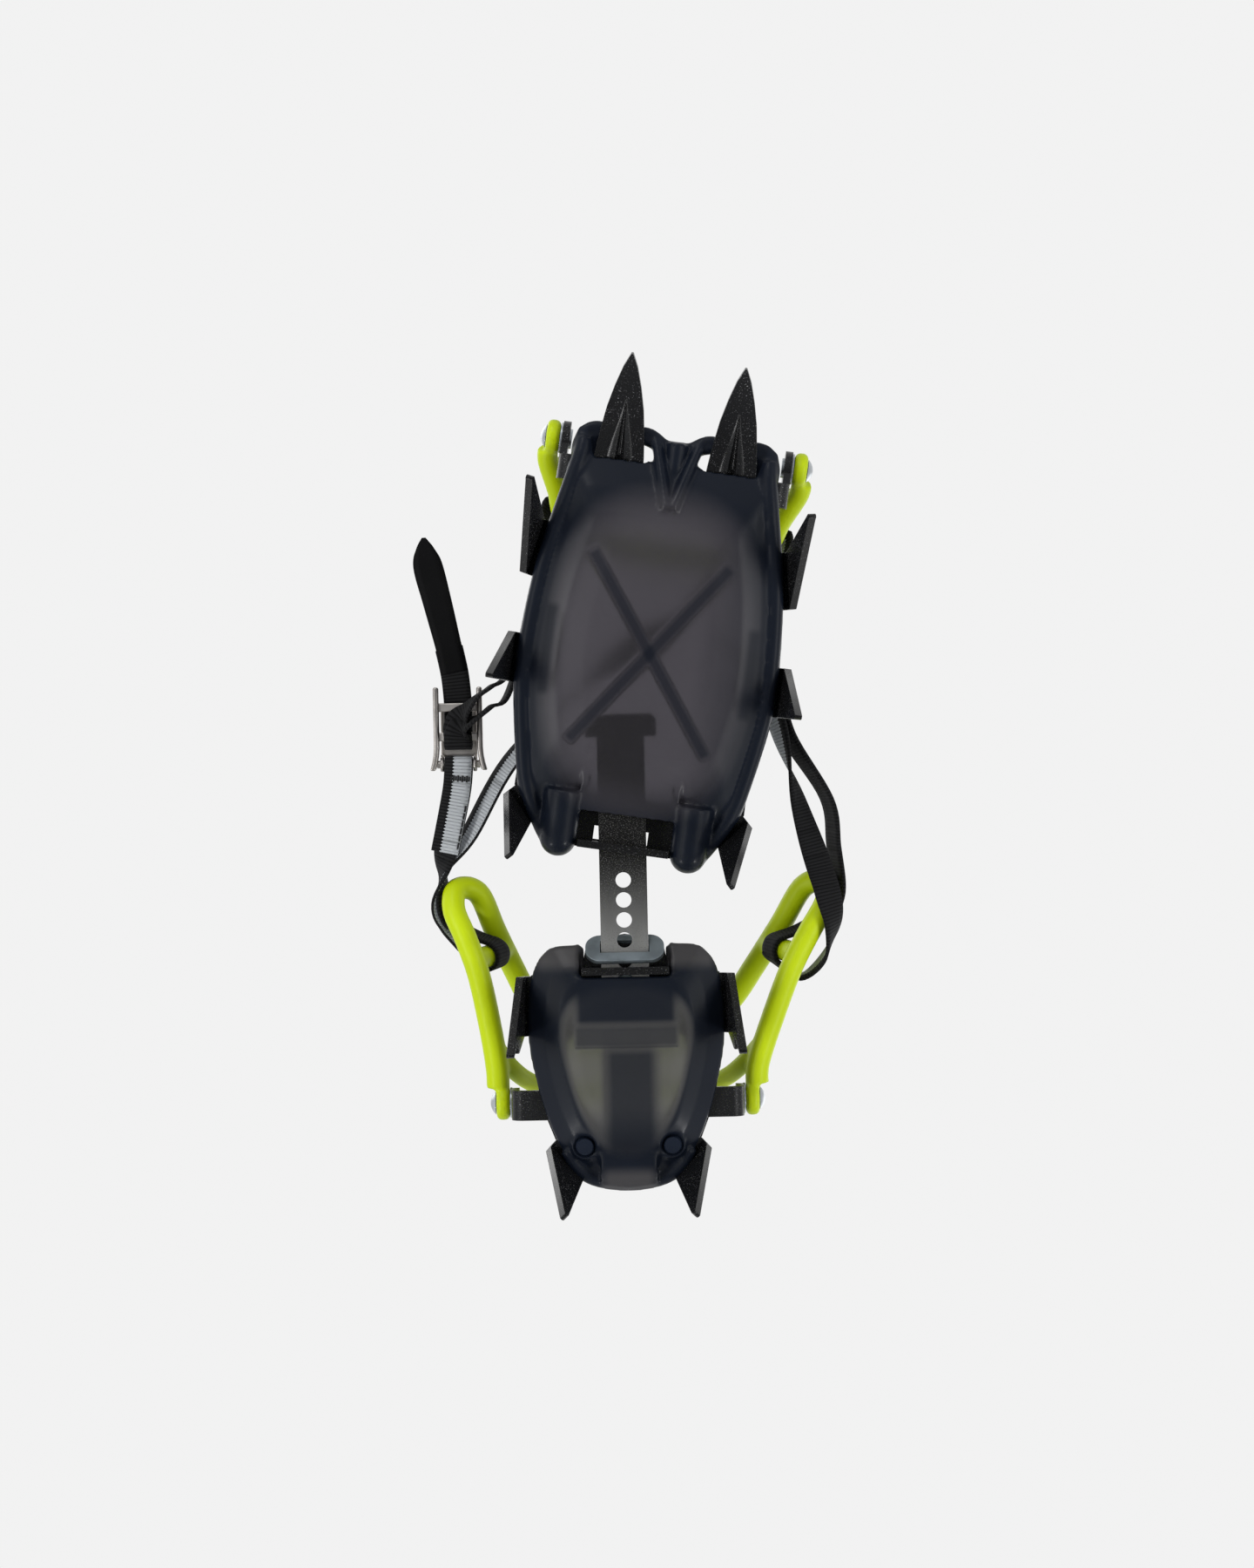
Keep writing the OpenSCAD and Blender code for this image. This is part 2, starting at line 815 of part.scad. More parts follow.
module heel_bail() {
    centre = heel_bail_at([0, 40, 15]);
    color("#b5c80a")
        difference() {
            union() {
                round_bar([for (q = open_curve(across(heel_over), 3)) heel_bail_at(q)], bail_d, centre);
                round_bar([for (q = open_curve(across(heel_under), 3)) heel_bail_at(q)], bail_d * brace_share, centre);
                for (s = [-1, 1])
                    rod(bail_side(s, post_low), bail_side(s, post_high), post_r);
                in_heel()
                    both()
                        lug(heel_ear_start, heel_pin);
            }
            in_heel()
                both()
                    lug_bore(heel_pin);
        }
}

module heel_bail_rivets() {
    color("#9aa0a4")
        in_heel()
            both()
                translate([0, heel_pin.x, heel_pin.y])
                    rivet(ear_in(heel_ear_start), lug_out(heel_ear_start) + side_clear, head_r);
}

module heel_bail_washers() {
    color("#8d9296")
        in_heel()
            both()
                translate([ear_out(heel_ear_start), heel_pin.x, heel_pin.y])
                    washer();
}

// Buckle beside the front section, in its own frame: X across, Y along, Z from the middle of its plate

buckle_at = [68.5, 24, platform_z + 16];
buckle_t = 1.6;
buckle_in = strap_w / 2 + 2;
rail_t = 1.4;
rail_low = 2.4;
rail_high = 2.2;
pin_y = -14.5;
pin_r = 1.6;
mid_bar = [-5, -1.5];
upper_bar = [7, 10.5];
rail_end = 17;

module in_buckle() {
    translate(buckle_at)
        children();
}

module buckle_frame() {
    color("#a8a29a")
        in_buckle() {
            for (bar = [mid_bar, upper_bar])
                translate([-buckle_in - rail_t / 2, bar[0], -buckle_t / 2])
                    cube([2 * buckle_in + rail_t, bar[1] - bar[0], buckle_t]);
            both()
                translate([buckle_in, pin_y - 2.6, -rail_low])
                    cube([rail_t, rail_end - pin_y + 2.6, rail_low + rail_high]);
            translate([0, pin_y, 0])
                rotate([0, 90, 0])
                    cylinder(h = 2 * buckle_in + rail_t, r = pin_r, center = true);
        }
}

// The tilting plate: two knuckles on the frame's lower bar and a cross plate over the strap
knuckle_w = 1.5;
cam_z = 5.6;
cam_t = 1.2;
cam_end = 10.5;

module buckle_cam() {
    out = buckle_in - side_clear;
    color("#8e8a84")
        in_buckle()
            difference() {
                union() {
                    both() {
                        translate([out - knuckle_w, pin_y, 0])
                            rotate([0, 90, 0])
                                cylinder(h = knuckle_w, r = pin_r + 1.4);
                        translate([out - knuckle_w, pin_y, cam_z - cam_t / 2])
                            cube([knuckle_w, 6, cam_t]);
                        translate([out - knuckle_w, pin_y - 1, 1.8])
                            cube([knuckle_w, 2.6, cam_z - 1.8]);
                    }
                    translate([-out, pin_y + 5, cam_z - cam_t / 2])
                        cube([2 * out, cam_end - pin_y - 5, cam_t]);
                }
                translate([0, pin_y, 0])
                    rotate([0, 90, 0])
                        cylinder(h = 60, r = pin_r + pin_clear, center = true);
            }
}

// Strap

function wrap_r(bar_r) = bar_r + soft_clear + strap_t / 2;
flat_x = [1, 0, 0];
standing = [0.2, 0, 1];
layer = strap_t + soft_clear;

function in_strap(w, list) = [for (p = list) [p, w]];
function with_width(w, stations) = [for (s = stations) [s[0], w]];

// The post of one side of the heel bail, and the way out of the corner ahead of it
function post_mid(s) = (bail_side(s, post_low) + bail_side(s, post_high)) / 2;
function post_axis(s) = unit(bail_side(s, post_high) - bail_side(s, post_low));
function window_dir(s) = [-0.45 * s, 0.1, 0.9];
corner_out = unit([0.77, -0.44, 0.45]);
function past_corner(s, lift) = in_strap(window_dir(s), [
    for (q = [[76.5, 73.5, 15.2], [80.3, 83.9, 11.7]]) bail_side(s, q + lift * corner_out)]);
function from_post(s) = in_strap(window_dir(s), [bail_side(s, [65, 67, 13.5]), bail_side(s, [70.5, 69.5, 14.5])]);

// Where the straps hold the toe bail, and the bar's direction there
function toe_side(s, q) = toe_at([s * q.x, q.y, q.z]);
function toe_hold(s) = toe_side(s, toe_over[3]);
toe_hold_r = wrap_r(bail_d * toe_share / 2) + 2;
function toe_hold_axis(s) = unit(toe_side(s, toe_over[4]) - toe_side(s, toe_over[2]));
toe_hold_back = front_turn([0, 1, 0.3]);

// Sewn end, buckle, left heel post, across to the right of the toe bail, right heel post, sewn end
pin_place = buckle_at + [0, pin_y, 0];
main_controls = concat(
    in_strap(flat_x, [pin_place + [6.5, -36, 0.6], pin_place + [3, -20, -0.6], pin_place + [0.8, -9, -2.2]]),
    with_width(flat_x, wrap(pin_place, flat_x, [0, 1, 0], wrap_r(pin_r))),
    in_strap(flat_x, [pin_place + [0.8, -9, 2.2], pin_place + [3, -20, 1.7]]),
    in_strap([0.8, 0, 0.6], [pin_place + [6.6, -36, 3.6]]),
    reversed(past_corner(1, layer + 1.4)),
    in_strap(window_dir(1), [bail_side(1, [72.4, 64.4, 16.5])]),
    reversed(wrap(post_mid(1), post_axis(1), [0, -1, 0], wrap_r(post_r), -150, 45)),
    from_post(1),
    past_corner(1, 0.9),
    in_strap([-0.3, 0.2, 0.95], [bail_side(1, [80.4, 96, 11])]),
    in_strap([0.2, 0.2, 0.95], [bail_side(1, [72, 110, 9.5]), front_at([50.5, 20, platform_z + 20])]),
    in_strap([0.6, -0.5, 0.5], [
        front_at([28, 52, platform_z + 20]), front_at([-12, 90, platform_z + 24])]),
    wrap(toe_hold(-1), toe_hold_axis(-1), toe_hold_back, toe_hold_r, -60),
    in_strap([0.5, 0, 0.85], [
        front_at([-45, 86, platform_z + 25]), front_at([-51, 62, platform_z + 19]),
        front_at([-57.5, 46, platform_z + 15])]),
    in_strap([-0.6, 0, 0.8], [bail_side(-1, [62.4, 118, 3])]),
    in_strap([-0.95, 0, 0.3], [bail_side(-1, [71, 96, 1]), bail_side(-1, [76, 83, -3])]),
    in_strap([-0.6, 0.2, 0.8], [bail_side(-1, [79.4, 70, -1.5])]),
    in_strap([0, 0.2, 1], [bail_side(-1, [77.5, 57, 5])]),
    in_strap([0.1, 0.1, 1], [bail_side(-1, [68.5, 48.5, 12])]),
    wrap(post_mid(-1), post_axis(-1), [0, -1, 0], wrap_r(post_r), 30, 150),
    from_post(-1),
    past_corner(-1, 0.9),
    in_strap([0.4, 0.1, 0.9], [bail_side(-1, [77.8, 102, 10]), bail_side(-1, [73.4, 121, 8])]),
    in_strap([0.5, 0, 0.85], [front_at([-60.6, 46, platform_z + 16.5]), front_at([-53.6, 63, platform_z + 20.5])])
);

module strap_main() {
    color("#17181a")
        band(smooth_stations(main_controls, 4), strap_t);
}

// Sewn on the middle bar, round the left of the toe bail, back round the middle bar and over the upper one
mid_turn = buckle_at + [0, mid_bar[0] + buckle_t / 2, 0];
mid_r = wrap_r(buckle_t / 2);
tail_start = [69.4, 46, platform_z + 16.6];
loop_controls = concat(
    in_strap(flat_x, [mid_turn + [0, 6, mid_r]]),
    with_width(flat_x, wrap(mid_turn, flat_x, [0, -1, 0], mid_r)),
    in_strap(flat_x, [buckle_at + [0, 1, -3]]),
    in_strap([0.7, 0.4, 0.5], [buckle_at + [-3.5, 7, -5.5]]),
    in_strap([0.4, 0.3, 0.85], [buckle_at + [-8.5, 12.5, -8.8]]),
    in_strap(standing, [
        buckle_at + [-14, 16.5, -9.2], buckle_at + [-21, 22, -6.5], front_at([46, 84, platform_z + 22])]),
    reversed(wrap(toe_hold(1), toe_hold_axis(1), toe_hold_back, toe_hold_r)),
    in_strap(standing, [
        front_at([49.5, 84, platform_z + 24]), buckle_at + [-21, 14, -6.5], buckle_at + [-14, 8.5, -9.4]]),
    in_strap([0.4, 0.3, 0.85], [buckle_at + [-8.5, 4.2, -9.2]]),
    in_strap([0.7, 0.4, 0.5], [buckle_at + [-3.5, 1.2, -7.4]]),
    in_strap(flat_x, [buckle_at + [-0.6, -1.5, -4.8]]),
    reversed(with_width(flat_x, wrap(mid_turn, flat_x, [0, -1, 0], mid_r + layer))),
    in_strap(flat_x, [buckle_at + [0, 3.6, 3.4], buckle_at + [0, 11, 2.1], tail_start])
);

module strap_loop() {
    color("#17181a")
        band(smooth_stations(loop_controls, 4), strap_t);
}

// The tip of the free end, in stations of place and half width
tip_t = 2.2;
tip_places = [
    tail_start + [0.15, 0.9, 0], [71.6, 57, platform_z + 17], [76, 76, platform_z + 17], [79.6, 91, platform_z + 16.5],
    [80.6, 98, platform_z + 16], [80.9, 102.2, platform_z + 16]
];
tip_halves = [5.6, 5.4, 5.9, 6, 3.6, 0.8];

module strap_tip() {
    places = open_curve(tip_places, 4);
    halves = open_curve(tip_halves, 4);
    color("#101012")
        band([for (i = [0:len(places) - 1]) [places[i], flat_x, halves[i]]], tip_t);
}

// The pieces

front_frame();
front_plate();
toe_bail();
toe_bail_rivets();
toe_bail_washers();
linking_bar();
heel_frame();
heel_plate();
heel_plate_studs();
lock_tongue();
lock_rivets();
lock_ring();
heel_bail();
heel_bail_rivets();
heel_bail_washers();
strap_main();
strap_loop();
strap_tip();
buckle_frame();
buckle_cam();
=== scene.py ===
"""Looks of a strap-on mountaineering crampon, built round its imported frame."""

import json
import math

import bmesh
import bpy
from bpy.props import FloatProperty, FloatVectorProperty, PointerProperty
from mathutils import Matrix, Vector


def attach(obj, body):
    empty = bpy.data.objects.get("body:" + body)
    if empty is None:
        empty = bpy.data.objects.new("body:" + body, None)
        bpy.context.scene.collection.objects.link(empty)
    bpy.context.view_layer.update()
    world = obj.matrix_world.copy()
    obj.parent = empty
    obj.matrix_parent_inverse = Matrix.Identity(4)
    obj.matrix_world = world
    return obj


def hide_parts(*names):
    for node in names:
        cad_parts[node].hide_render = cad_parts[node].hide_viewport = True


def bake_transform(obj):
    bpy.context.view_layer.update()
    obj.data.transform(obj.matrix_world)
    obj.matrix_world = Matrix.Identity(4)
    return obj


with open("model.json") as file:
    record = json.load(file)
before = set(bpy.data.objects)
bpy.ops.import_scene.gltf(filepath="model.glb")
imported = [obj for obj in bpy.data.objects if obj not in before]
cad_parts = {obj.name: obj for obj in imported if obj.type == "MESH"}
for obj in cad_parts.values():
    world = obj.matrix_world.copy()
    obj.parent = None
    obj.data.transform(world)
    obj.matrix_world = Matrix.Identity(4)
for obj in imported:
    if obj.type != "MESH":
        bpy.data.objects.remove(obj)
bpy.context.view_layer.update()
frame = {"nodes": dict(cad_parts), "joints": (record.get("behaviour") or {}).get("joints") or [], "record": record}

bl_info = {
    "name": "Crampon looks",
    "version": (1, 0, 0),
    "blender": (4, 5, 0),
    "location": "View3D > Sidebar > Crampon",
    "description": "Finishes, straps, bails and studio for a mountaineering crampon",
    "category": "Object",
}

MM = 0.001
JOINTS = {joint["name"]: joint for joint in frame["joints"]}
PARENT_OF = {node: body for body, nodes in frame["record"]["behaviour"]["bodies"].items() for node in nodes}

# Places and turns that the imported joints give
SWIVEL = Vector(JOINTS["link_swivel"]["pos_m"])
TOE_HINGE = Vector(JOINTS["toe_bail_hinge"]["pos_m"])
TOE_AXIS = Vector(JOINTS["toe_bail_hinge"]["axis"])
HEEL_HINGE = Vector(JOINTS["heel_bail_hinge"]["pos_m"])
HEEL_AXIS = Vector(JOINTS["heel_bail_hinge"]["axis"])
CAM_HINGE = Vector(JOINTS["buckle_cam_hinge"]["pos_m"])
FRONT_YAW = math.atan2(TOE_AXIS.y, TOE_AXIS.x)
FRONT_TURN = Matrix.Rotation(FRONT_YAW, 3, "Z")
# Height of the steel platforms, and the swivel's place along the front section, in millimetres
PLATFORM = 42.0
SWIVEL_ALONG = -8.5


def millimetres(point):
    return Vector(point) * MM


def front_at(point):
    """A place of the front section, in millimetres from its own rear edge, in the whole crampon."""
    x, y, z = point
    placed = FRONT_TURN @ millimetres((x, y - SWIVEL_ALONG, 0))
    return Vector((SWIVEL.x + placed.x, SWIVEL.y + placed.y, z * MM))


def heel_at(point):
    """A place of the heel section, in millimetres from its rivets."""
    return HEEL_HINGE + millimetres(point)


TOE_LEAN = math.radians(55)


def toe_at(point):
    """A place of the toe bail, as millimetres across, along its arm and ahead of its arm."""
    across, along, ahead = point
    back = -along * math.sin(TOE_LEAN) + ahead * math.cos(TOE_LEAN)
    up = along * math.cos(TOE_LEAN) + ahead * math.sin(TOE_LEAN)
    return TOE_HINGE + FRONT_TURN @ millimetres((across, back, up))


SIDE_LEAN = 7.0
LEAN_FROM = 12.0
ARM_LONG = 84.0


def heel_bail_at(point):
    """A place of the heel bail, as millimetres across, ahead of its rivets and above them."""
    across, along, up = point
    lean = SIDE_LEAN * max(along - LEAN_FROM, 0) / (ARM_LONG - LEAN_FROM)
    return HEEL_HINGE + millimetres((across - lean, along, up))


def through(points, steps):
    """A smooth run of places through a few points."""
    last = len(points) - 1
    run = []
    for i in range(last):
        a, b = points[max(i - 1, 0)], points[i]
        c, d = points[i + 1], points[min(i + 2, last)]
        for k in range(steps):
            t = k / steps
            run.append(0.5 * (2 * b + (c - a) * t + (2 * a - 5 * b + 4 * c - d) * t ** 2
                              + (3 * b - a - 3 * c + d) * t ** 3))
    return run + [points[last]]


def tangents(places):
    last = len(places) - 1
    return [(places[min(i + 1, last)] - places[max(i - 1, 0)]).normalized() for i in range(last + 1)]


# Sizes and colours that a user would change


def colour(name, text, value):
    return FloatVectorProperty(
        name=name, description=text, subtype="COLOR", size=3, min=0, max=1, default=value)


def length(name, text, value):
    return FloatProperty(name=name, description=text, subtype="DISTANCE", unit="LENGTH", min=0, default=value)


class CramponColours(bpy.types.PropertyGroup):
    """Colours of the finishes, in linear light"""

    steel: colour("Coated steel", "Black coat of the pressed frames", (0.006, 0.006, 0.0065))
    fleck: colour("Fleck", "Grey sparkle in the black coat", (0.28, 0.28, 0.29))
    smoke: colour("Smoke plastic", "Moulded plates under the boot", (0.005, 0.0075, 0.014))
    # Painted glow: the paler brim colour stands for light that passes the thin plastic
    brim_glow: colour("Thin brim", "Thin edge of the heel plate past the steel", (0.05, 0.048, 0.05))
    front_glow: colour("Front window", "Light that passes the front plate's window", (0.083, 0.077, 0.09))
    heel_glow: colour("Heel window", "Light that passes the heel plate's window", (0.16, 0.156, 0.151))
    lime: colour("Lime plastic", "Moulded bails", (0.5, 0.63, 0.003))
    zinc: colour("Zinc plate", "Ring and spring leaf", (0.44, 0.51, 0.55))
    rivet: colour("Rivets", "Plated rivets and washers", (0.52, 0.55, 0.57))
    bar: colour("Linking bar", "Dark satin steel of the bar", (0.115, 0.114, 0.112))
    buckle: colour("Buckle", "Satin steel of the buckle", (0.5, 0.47, 0.44))
    web_black: colour("Webbing, black", "Black face of the strap", (0.0075, 0.0075, 0.008))
    web_grey: colour("Webbing, grey", "Pale face of the strap", (0.46, 0.48, 0.50))
    backdrop: colour("Backdrop", "Pale floor and background", (0.887, 0.887, 0.887))


class CramponSizes(bpy.types.PropertyGroup):
    """Sizes of the pieces that are made here"""

    strap_width: length("Strap width", "Width of the webbing", 11.5 * MM)
    strap_thick: length("Strap thickness", "Thickness of the webbing", 1.4 * MM)
    rib_pitch: length("Rib pitch", "Distance between the webbing's cross ribs", 1.35 * MM)
    heel_bar: length("Heel bail bar", "Diameter of the heel bail's bar", 9.6 * MM)
    toe_bar: length("Toe bail bar", "Diameter of the toe bail's bar", 8.64 * MM)
    brace_bar: length("Brace bar", "Diameter of the bails' inner braces", 7.68 * MM)
    moulding: length("Moulding detail", "Finest detail of the moulded bails and plates", 0.8 * MM)
    edge: length("Edge radius", "Rounding of the pressed steel's edges", 0.45 * MM)


def colours():
    return bpy.context.scene.crampon_colours


def sizes():
    return bpy.context.scene.crampon_sizes


# Node materials


def times(tint, factor):
    return [factor * part for part in tint]


class Nodes:
    """One node tree: add() makes a node, links sockets given as inputs and sets the rest."""

    def __init__(self, tree):
        self.tree = tree

    def add(self, kind, inputs=None, **settings):
        made = self.tree.nodes.new(kind)
        for key, value in settings.items():
            setattr(made, key, value)
        self.feed(made, inputs or {})
        return made

    def feed(self, made, inputs):
        for key, value in inputs.items():
            socket = made.inputs[key]
            if isinstance(value, bpy.types.NodeSocket):
                self.tree.links.new(value, socket)
            elif socket.type == "RGBA":
                socket.default_value = (*value, 1)
            else:
                socket.default_value = value

    def math(self, operation, a, b=0.0):
        return self.add("ShaderNodeMath", {0: a, 1: b}, operation=operation).outputs[0]


class Finish(Nodes):
    """One material with a principled shader, and patterns in the object's own coordinates."""

    def __init__(self, name):
        self.material = bpy.data.materials.new(name)
        self.material.use_nodes = True
        super().__init__(self.material.node_tree)
        self.shader = self.tree.nodes["Principled BSDF"]
        self.place = self.add("ShaderNodeTexCoord").outputs["Object"]

    def surface(self, **inputs):
        self.feed(self.shader, {key.replace("_", " "): value for key, value in inputs.items()})

    def ramp(self, value, low, high):
        """0 below low, 1 above high, smooth between."""
        made = self.add("ShaderNodeMapRange", {"Value": value, "From Min": low, "From Max": high},
                        interpolation_type="SMOOTHSTEP")
        return made.outputs["Result"]

    def spread(self, share, low, high):
        """A number from low to high, by a share."""
        return self.add("ShaderNodeMapRange", {"Value": share, "To Min": low, "To Max": high}).outputs[0]

    def between(self, share, a, b):
        """A colour from a to b, by a share."""
        return self.add("ShaderNodeMix", {"Factor": share, 6: a, 7: b}, data_type="RGBA").outputs[2]

    def noise(self, scale, detail=2.0, stretch=(1, 1, 1)):
        mapped = self.add("ShaderNodeMapping", {"Vector": self.place, "Scale": stretch}).outputs[0]
        inputs = {"Vector": mapped, "Scale": scale, "Detail": detail}
        return self.add("ShaderNodeTexNoise", inputs).outputs["Fac"]

    def rounded(self, radius):
        """The surface's direction with its edges eased."""
        return self.add("ShaderNodeBevel", {"Radius": radius}, samples=6).outputs[0]

    def bump(self, height, strength, distance, base=None):
        """Fine relief on the plain surface, or on one already eased or pressed."""
        inputs = {"Height": height, "Strength": strength, "Distance": distance}
        if base:
            inputs["Normal"] = base
        self.surface(Normal=self.add("ShaderNodeBump", inputs).outputs[0])


# The front points' pressed valleys: places in the front section, and sizes
VALLEY_ACROSS = 22.8
VALLEY_FROM = 143.0
VALLEY_START = 6 * MM
VALLEY_LONG = 30 * MM
VALLEY_HALF = 5.5 * MM
VALLEY_LEAST = 0.5 * MM
VALLEY_DEEP = 2.6 * MM


def pressed_valley(made):
    """Height of the valley pressed into each front point: wide at its base and gone towards its tip."""
    own = plate_place(made, front_at((0, VALLEY_FROM, 0)), FRONT_YAW)
    aside = made.math("SUBTRACT", made.math("ABSOLUTE", own["X"]), VALLEY_ACROSS * MM)
    fade = made.ramp(own["Y"], VALLEY_LONG, 0.0)
    begins = made.ramp(own["Y"], -VALLEY_START, 0.0)
    width = made.math("ADD", made.math("MULTIPLY", fade, VALLEY_HALF), VALLEY_LEAST)
    wall = made.ramp(made.math("DIVIDE", made.math("ABSOLUTE", aside), width), 0.0, 1.0)
    depth = made.math("MULTIPLY", made.math("MULTIPLY", fade, begins), VALLEY_DEEP)
    return made.math("MULTIPLY", made.math("SUBTRACT", wall, 1.0), depth)


def coated_steel():
    """Black coat with a fine grey sparkle."""
    made = Finish("coated_steel")
    grain = made.noise(scale=1900, detail=3)
    pressing = made.add("ShaderNodeBump", {
        "Height": pressed_valley(made), "Strength": 1.0, "Distance": 1.0,
        "Normal": made.rounded(sizes().edge)}).outputs[0]
    patches = made.noise(scale=60, detail=2)
    flecks = made.math("MULTIPLY", made.ramp(grain, 0.6, 0.75), made.ramp(patches, 0.3, 0.7))
    made.surface(
        Base_Color=made.between(flecks, colours().steel, colours().fleck),
        Roughness=made.spread(grain, 0.16, 0.36),
        Specular_IOR_Level=0.34,
    )
    made.bump(grain, strength=0.16, distance=0.1 * MM, base=pressing)
    return made.material


def plate_place(made, centre, turn):
    """Coordinates of a plate's own middle, in metres."""
    moved = made.add("ShaderNodeMapping", {"Vector": made.place, "Location": -centre}).outputs[0]
    turned = made.add("ShaderNodeVectorRotate", {"Vector": moved, "Angle": -turn}, rotation_type="Z_AXIS")
    return made.add("ShaderNodeSeparateXYZ", {"Vector": turned.outputs[0]}).outputs


WINDOW_POWER = 2.6
WINDOW_END = 1.2


def window_share(made, own, half_wide, half_long, taper, clear_to):
    """1 inside a rounded window and 0 outside it, with a soft border, wider ahead by its taper."""
    ahead = made.math("DIVIDE", own["Y"], half_long)
    wide = made.math("MULTIPLY", made.math("ADD", made.math("MULTIPLY", ahead, taper), 1.0), half_wide)
    across = made.math("POWER", made.math("ABSOLUTE", made.math("DIVIDE", own["X"], wide)), WINDOW_POWER)
    along = made.math("POWER", made.math("ABSOLUTE", ahead), WINDOW_POWER)
    return made.ramp(made.math("ADD", across, along), WINDOW_END, clear_to)


def bar_share(made, own, turn, middle, half_wide, half_long, soft):
    """1 on a straight bar drawn in a plate's coordinates and 0 off it."""
    x = made.math("SUBTRACT", own["X"], middle[0])
    y = made.math("SUBTRACT", own["Y"], middle[1])
    cos, sin = math.cos(turn), math.sin(turn)
    across = made.math("ADD", made.math("MULTIPLY", x, cos), made.math("MULTIPLY", y, sin))
    along = made.math("SUBTRACT", made.math("MULTIPLY", y, cos), made.math("MULTIPLY", x, sin))
    side = made.ramp(made.math("ABSOLUTE", across), half_wide + soft, half_wide - soft)
    end = made.ramp(made.math("ABSOLUTE", along), half_long + soft, half_long - soft)
    return made.math("MULTIPLY", side, end)


RIB_ANGLE = math.radians(36)
# Middles of the plates' windows, in the front section and from the heel's rivets, in millimetres
FRONT_MIDDLE = (0, 70, 0)
HEEL_MIDDLE = (0, 14, 0)
# Windows: half width, half length, widening ahead and how far out they stay fully clear
FRONT_WINDOW = (43 * MM, 66 * MM, 0.0, 0.42)
HEEL_WINDOW = (23.5 * MM, 34 * MM, 0.34, 0.75)
# Painted shadows of what hides light inside a dome, drawn as darker, less clear patches of the plate: turn,
# middle, half width, half length, softness and share hidden.
# Front: painted shadows of two crossed ribs and two side clips, and a painted shade over the window's right side
FRONT_PAINTED_SHADOWS = (
    (-RIB_ANGLE, (0, 0), 2.2 * MM, 47 * MM, 1.4 * MM, 0.76),
    (RIB_ANGLE, (0, 0), 2.2 * MM, 47 * MM, 1.4 * MM, 0.76),
    (0.0, (41 * MM, -3 * MM), 2.6 * MM, 18 * MM, 2.0 * MM, 0.8),
    (0.0, (-41 * MM, -3 * MM), 2.6 * MM, 18 * MM, 2.0 * MM, 0.8),
    (0.0, (-34 * MM, 4 * MM), 9 * MM, 44 * MM, 9 * MM, 0.4),
)
# Heel: painted shadows of the bar, the front block, the shelf and the shelf's edge, and a painted shade over the
# narrow rear
HEEL_PAINTED_SHADOWS = (
    (0.0, (-1.5 * MM, -21 * MM), 10.2 * MM, 30.5 * MM, 3.4 * MM, 0.86),
    (0.0, (0, 28 * MM), 20.5 * MM, 9.5 * MM, 2.8 * MM, 0.96),
    (0.0, (0, 14 * MM), 20.5 * MM, 4.0 * MM, 1.4 * MM, 0.72),
    (0.0, (0, 9.8 * MM), 20.5 * MM, 0.4 * MM, 0.5 * MM, 0.5),
    (0.0, (0, -30 * MM), 26 * MM, 10 * MM, 8.0 * MM, 0.7),
)
# Painted glow where the heel plate is thin past the steel, a paler colour with no light passing: turn, middle,
# half width, half length and softness
HEEL_PAINTED_GLOW = (
    (0.0, (0, 48 * MM), 36 * MM, 6.5 * MM, 3.0 * MM),
    (0.0, (0, -44 * MM), 10 * MM, 4.0 * MM, 3.0 * MM),
)


def smoke_plastic(name, middle, turn, window, tint, painted_shadows, brim_glow=()):
    """Frosted moulding: its thick rim is opaque, and light from behind glows through its thin window, with painted
    shadows in the window and a painted glow on the heel plate's brim.
    """
    made = Finish(name)
    cloud = made.noise(scale=38, detail=3)
    grain = made.noise(scale=900, detail=2)
    own = plate_place(made, middle, turn)
    clear = window_share(made, own, *window)
    # Painted shadows: each one makes the window darker and less clear, as if a part behind it hid the light
    for *bar, share in painted_shadows:
        shown = made.math("SUBTRACT", 1.0, made.math("MULTIPLY", bar_share(made, own, *bar), share))
        clear = made.math("MULTIPLY", clear, shown)
    glow = made.between(cloud, times(tint, 0.94), times(tint, 1.06))
    smoke = colours().smoke
    rim = made.between(cloud, times(smoke, 0.85), times(smoke, 1.15))
    # Painted glow: the thin brim is paler, though no light passes it
    for bar in brim_glow:
        rim = made.between(bar_share(made, own, *bar), rim, colours().brim_glow)
    made.surface(
        # In the window the glow colour tints the light that passes, and its diffuse share is a painted glow
        Base_Color=made.between(clear, rim, glow),
        Transmission_Weight=made.math("MULTIPLY", clear, 0.8),
        Roughness=made.spread(grain, 0.38, 0.46),
        IOR=1.35,
        Specular_IOR_Level=0.2,
        Coat_Weight=0.2,
        Coat_Roughness=0.16,
    )
    made.bump(cloud, strength=0.05, distance=0.3 * MM)
    return made.material


def moulded_plastic(name, tint, roughness):
    """Satin moulding with a faint texture and slight changes of shade."""
    made = Finish(name)
    shade = made.noise(scale=45, detail=2)
    grain = made.noise(scale=1500, detail=2)
    made.surface(
        Base_Color=made.between(shade, times(tint, 0.93), times(tint, 1.05)),
        Roughness=made.spread(grain, roughness - 0.05, roughness + 0.06),
        Specular_IOR_Level=0.22,
    )
    made.bump(grain, strength=0.06, distance=0.08 * MM)
    return made.material


def plated_steel(name, tint, roughness, stretch=(1, 1, 1), depth=0.35):
    """Bare or plated steel with a fine grain along one direction."""
    made = Finish(name)
    grain = made.noise(scale=1400, detail=3, stretch=stretch)
    stain = made.noise(scale=110, detail=3)
    dark = times(tint, 1 - depth)
    made.surface(
        Base_Color=made.between(made.ramp(stain, 0.3, 0.7), dark, tint),
        Metallic=1.0,
        Roughness=made.spread(grain, roughness - 0.08, roughness + 0.1),
    )
    made.bump(grain, strength=0.1, distance=0.05 * MM, base=made.rounded(sizes().edge * 0.6))
    return made.material


BAR_PALING = 60 * MM


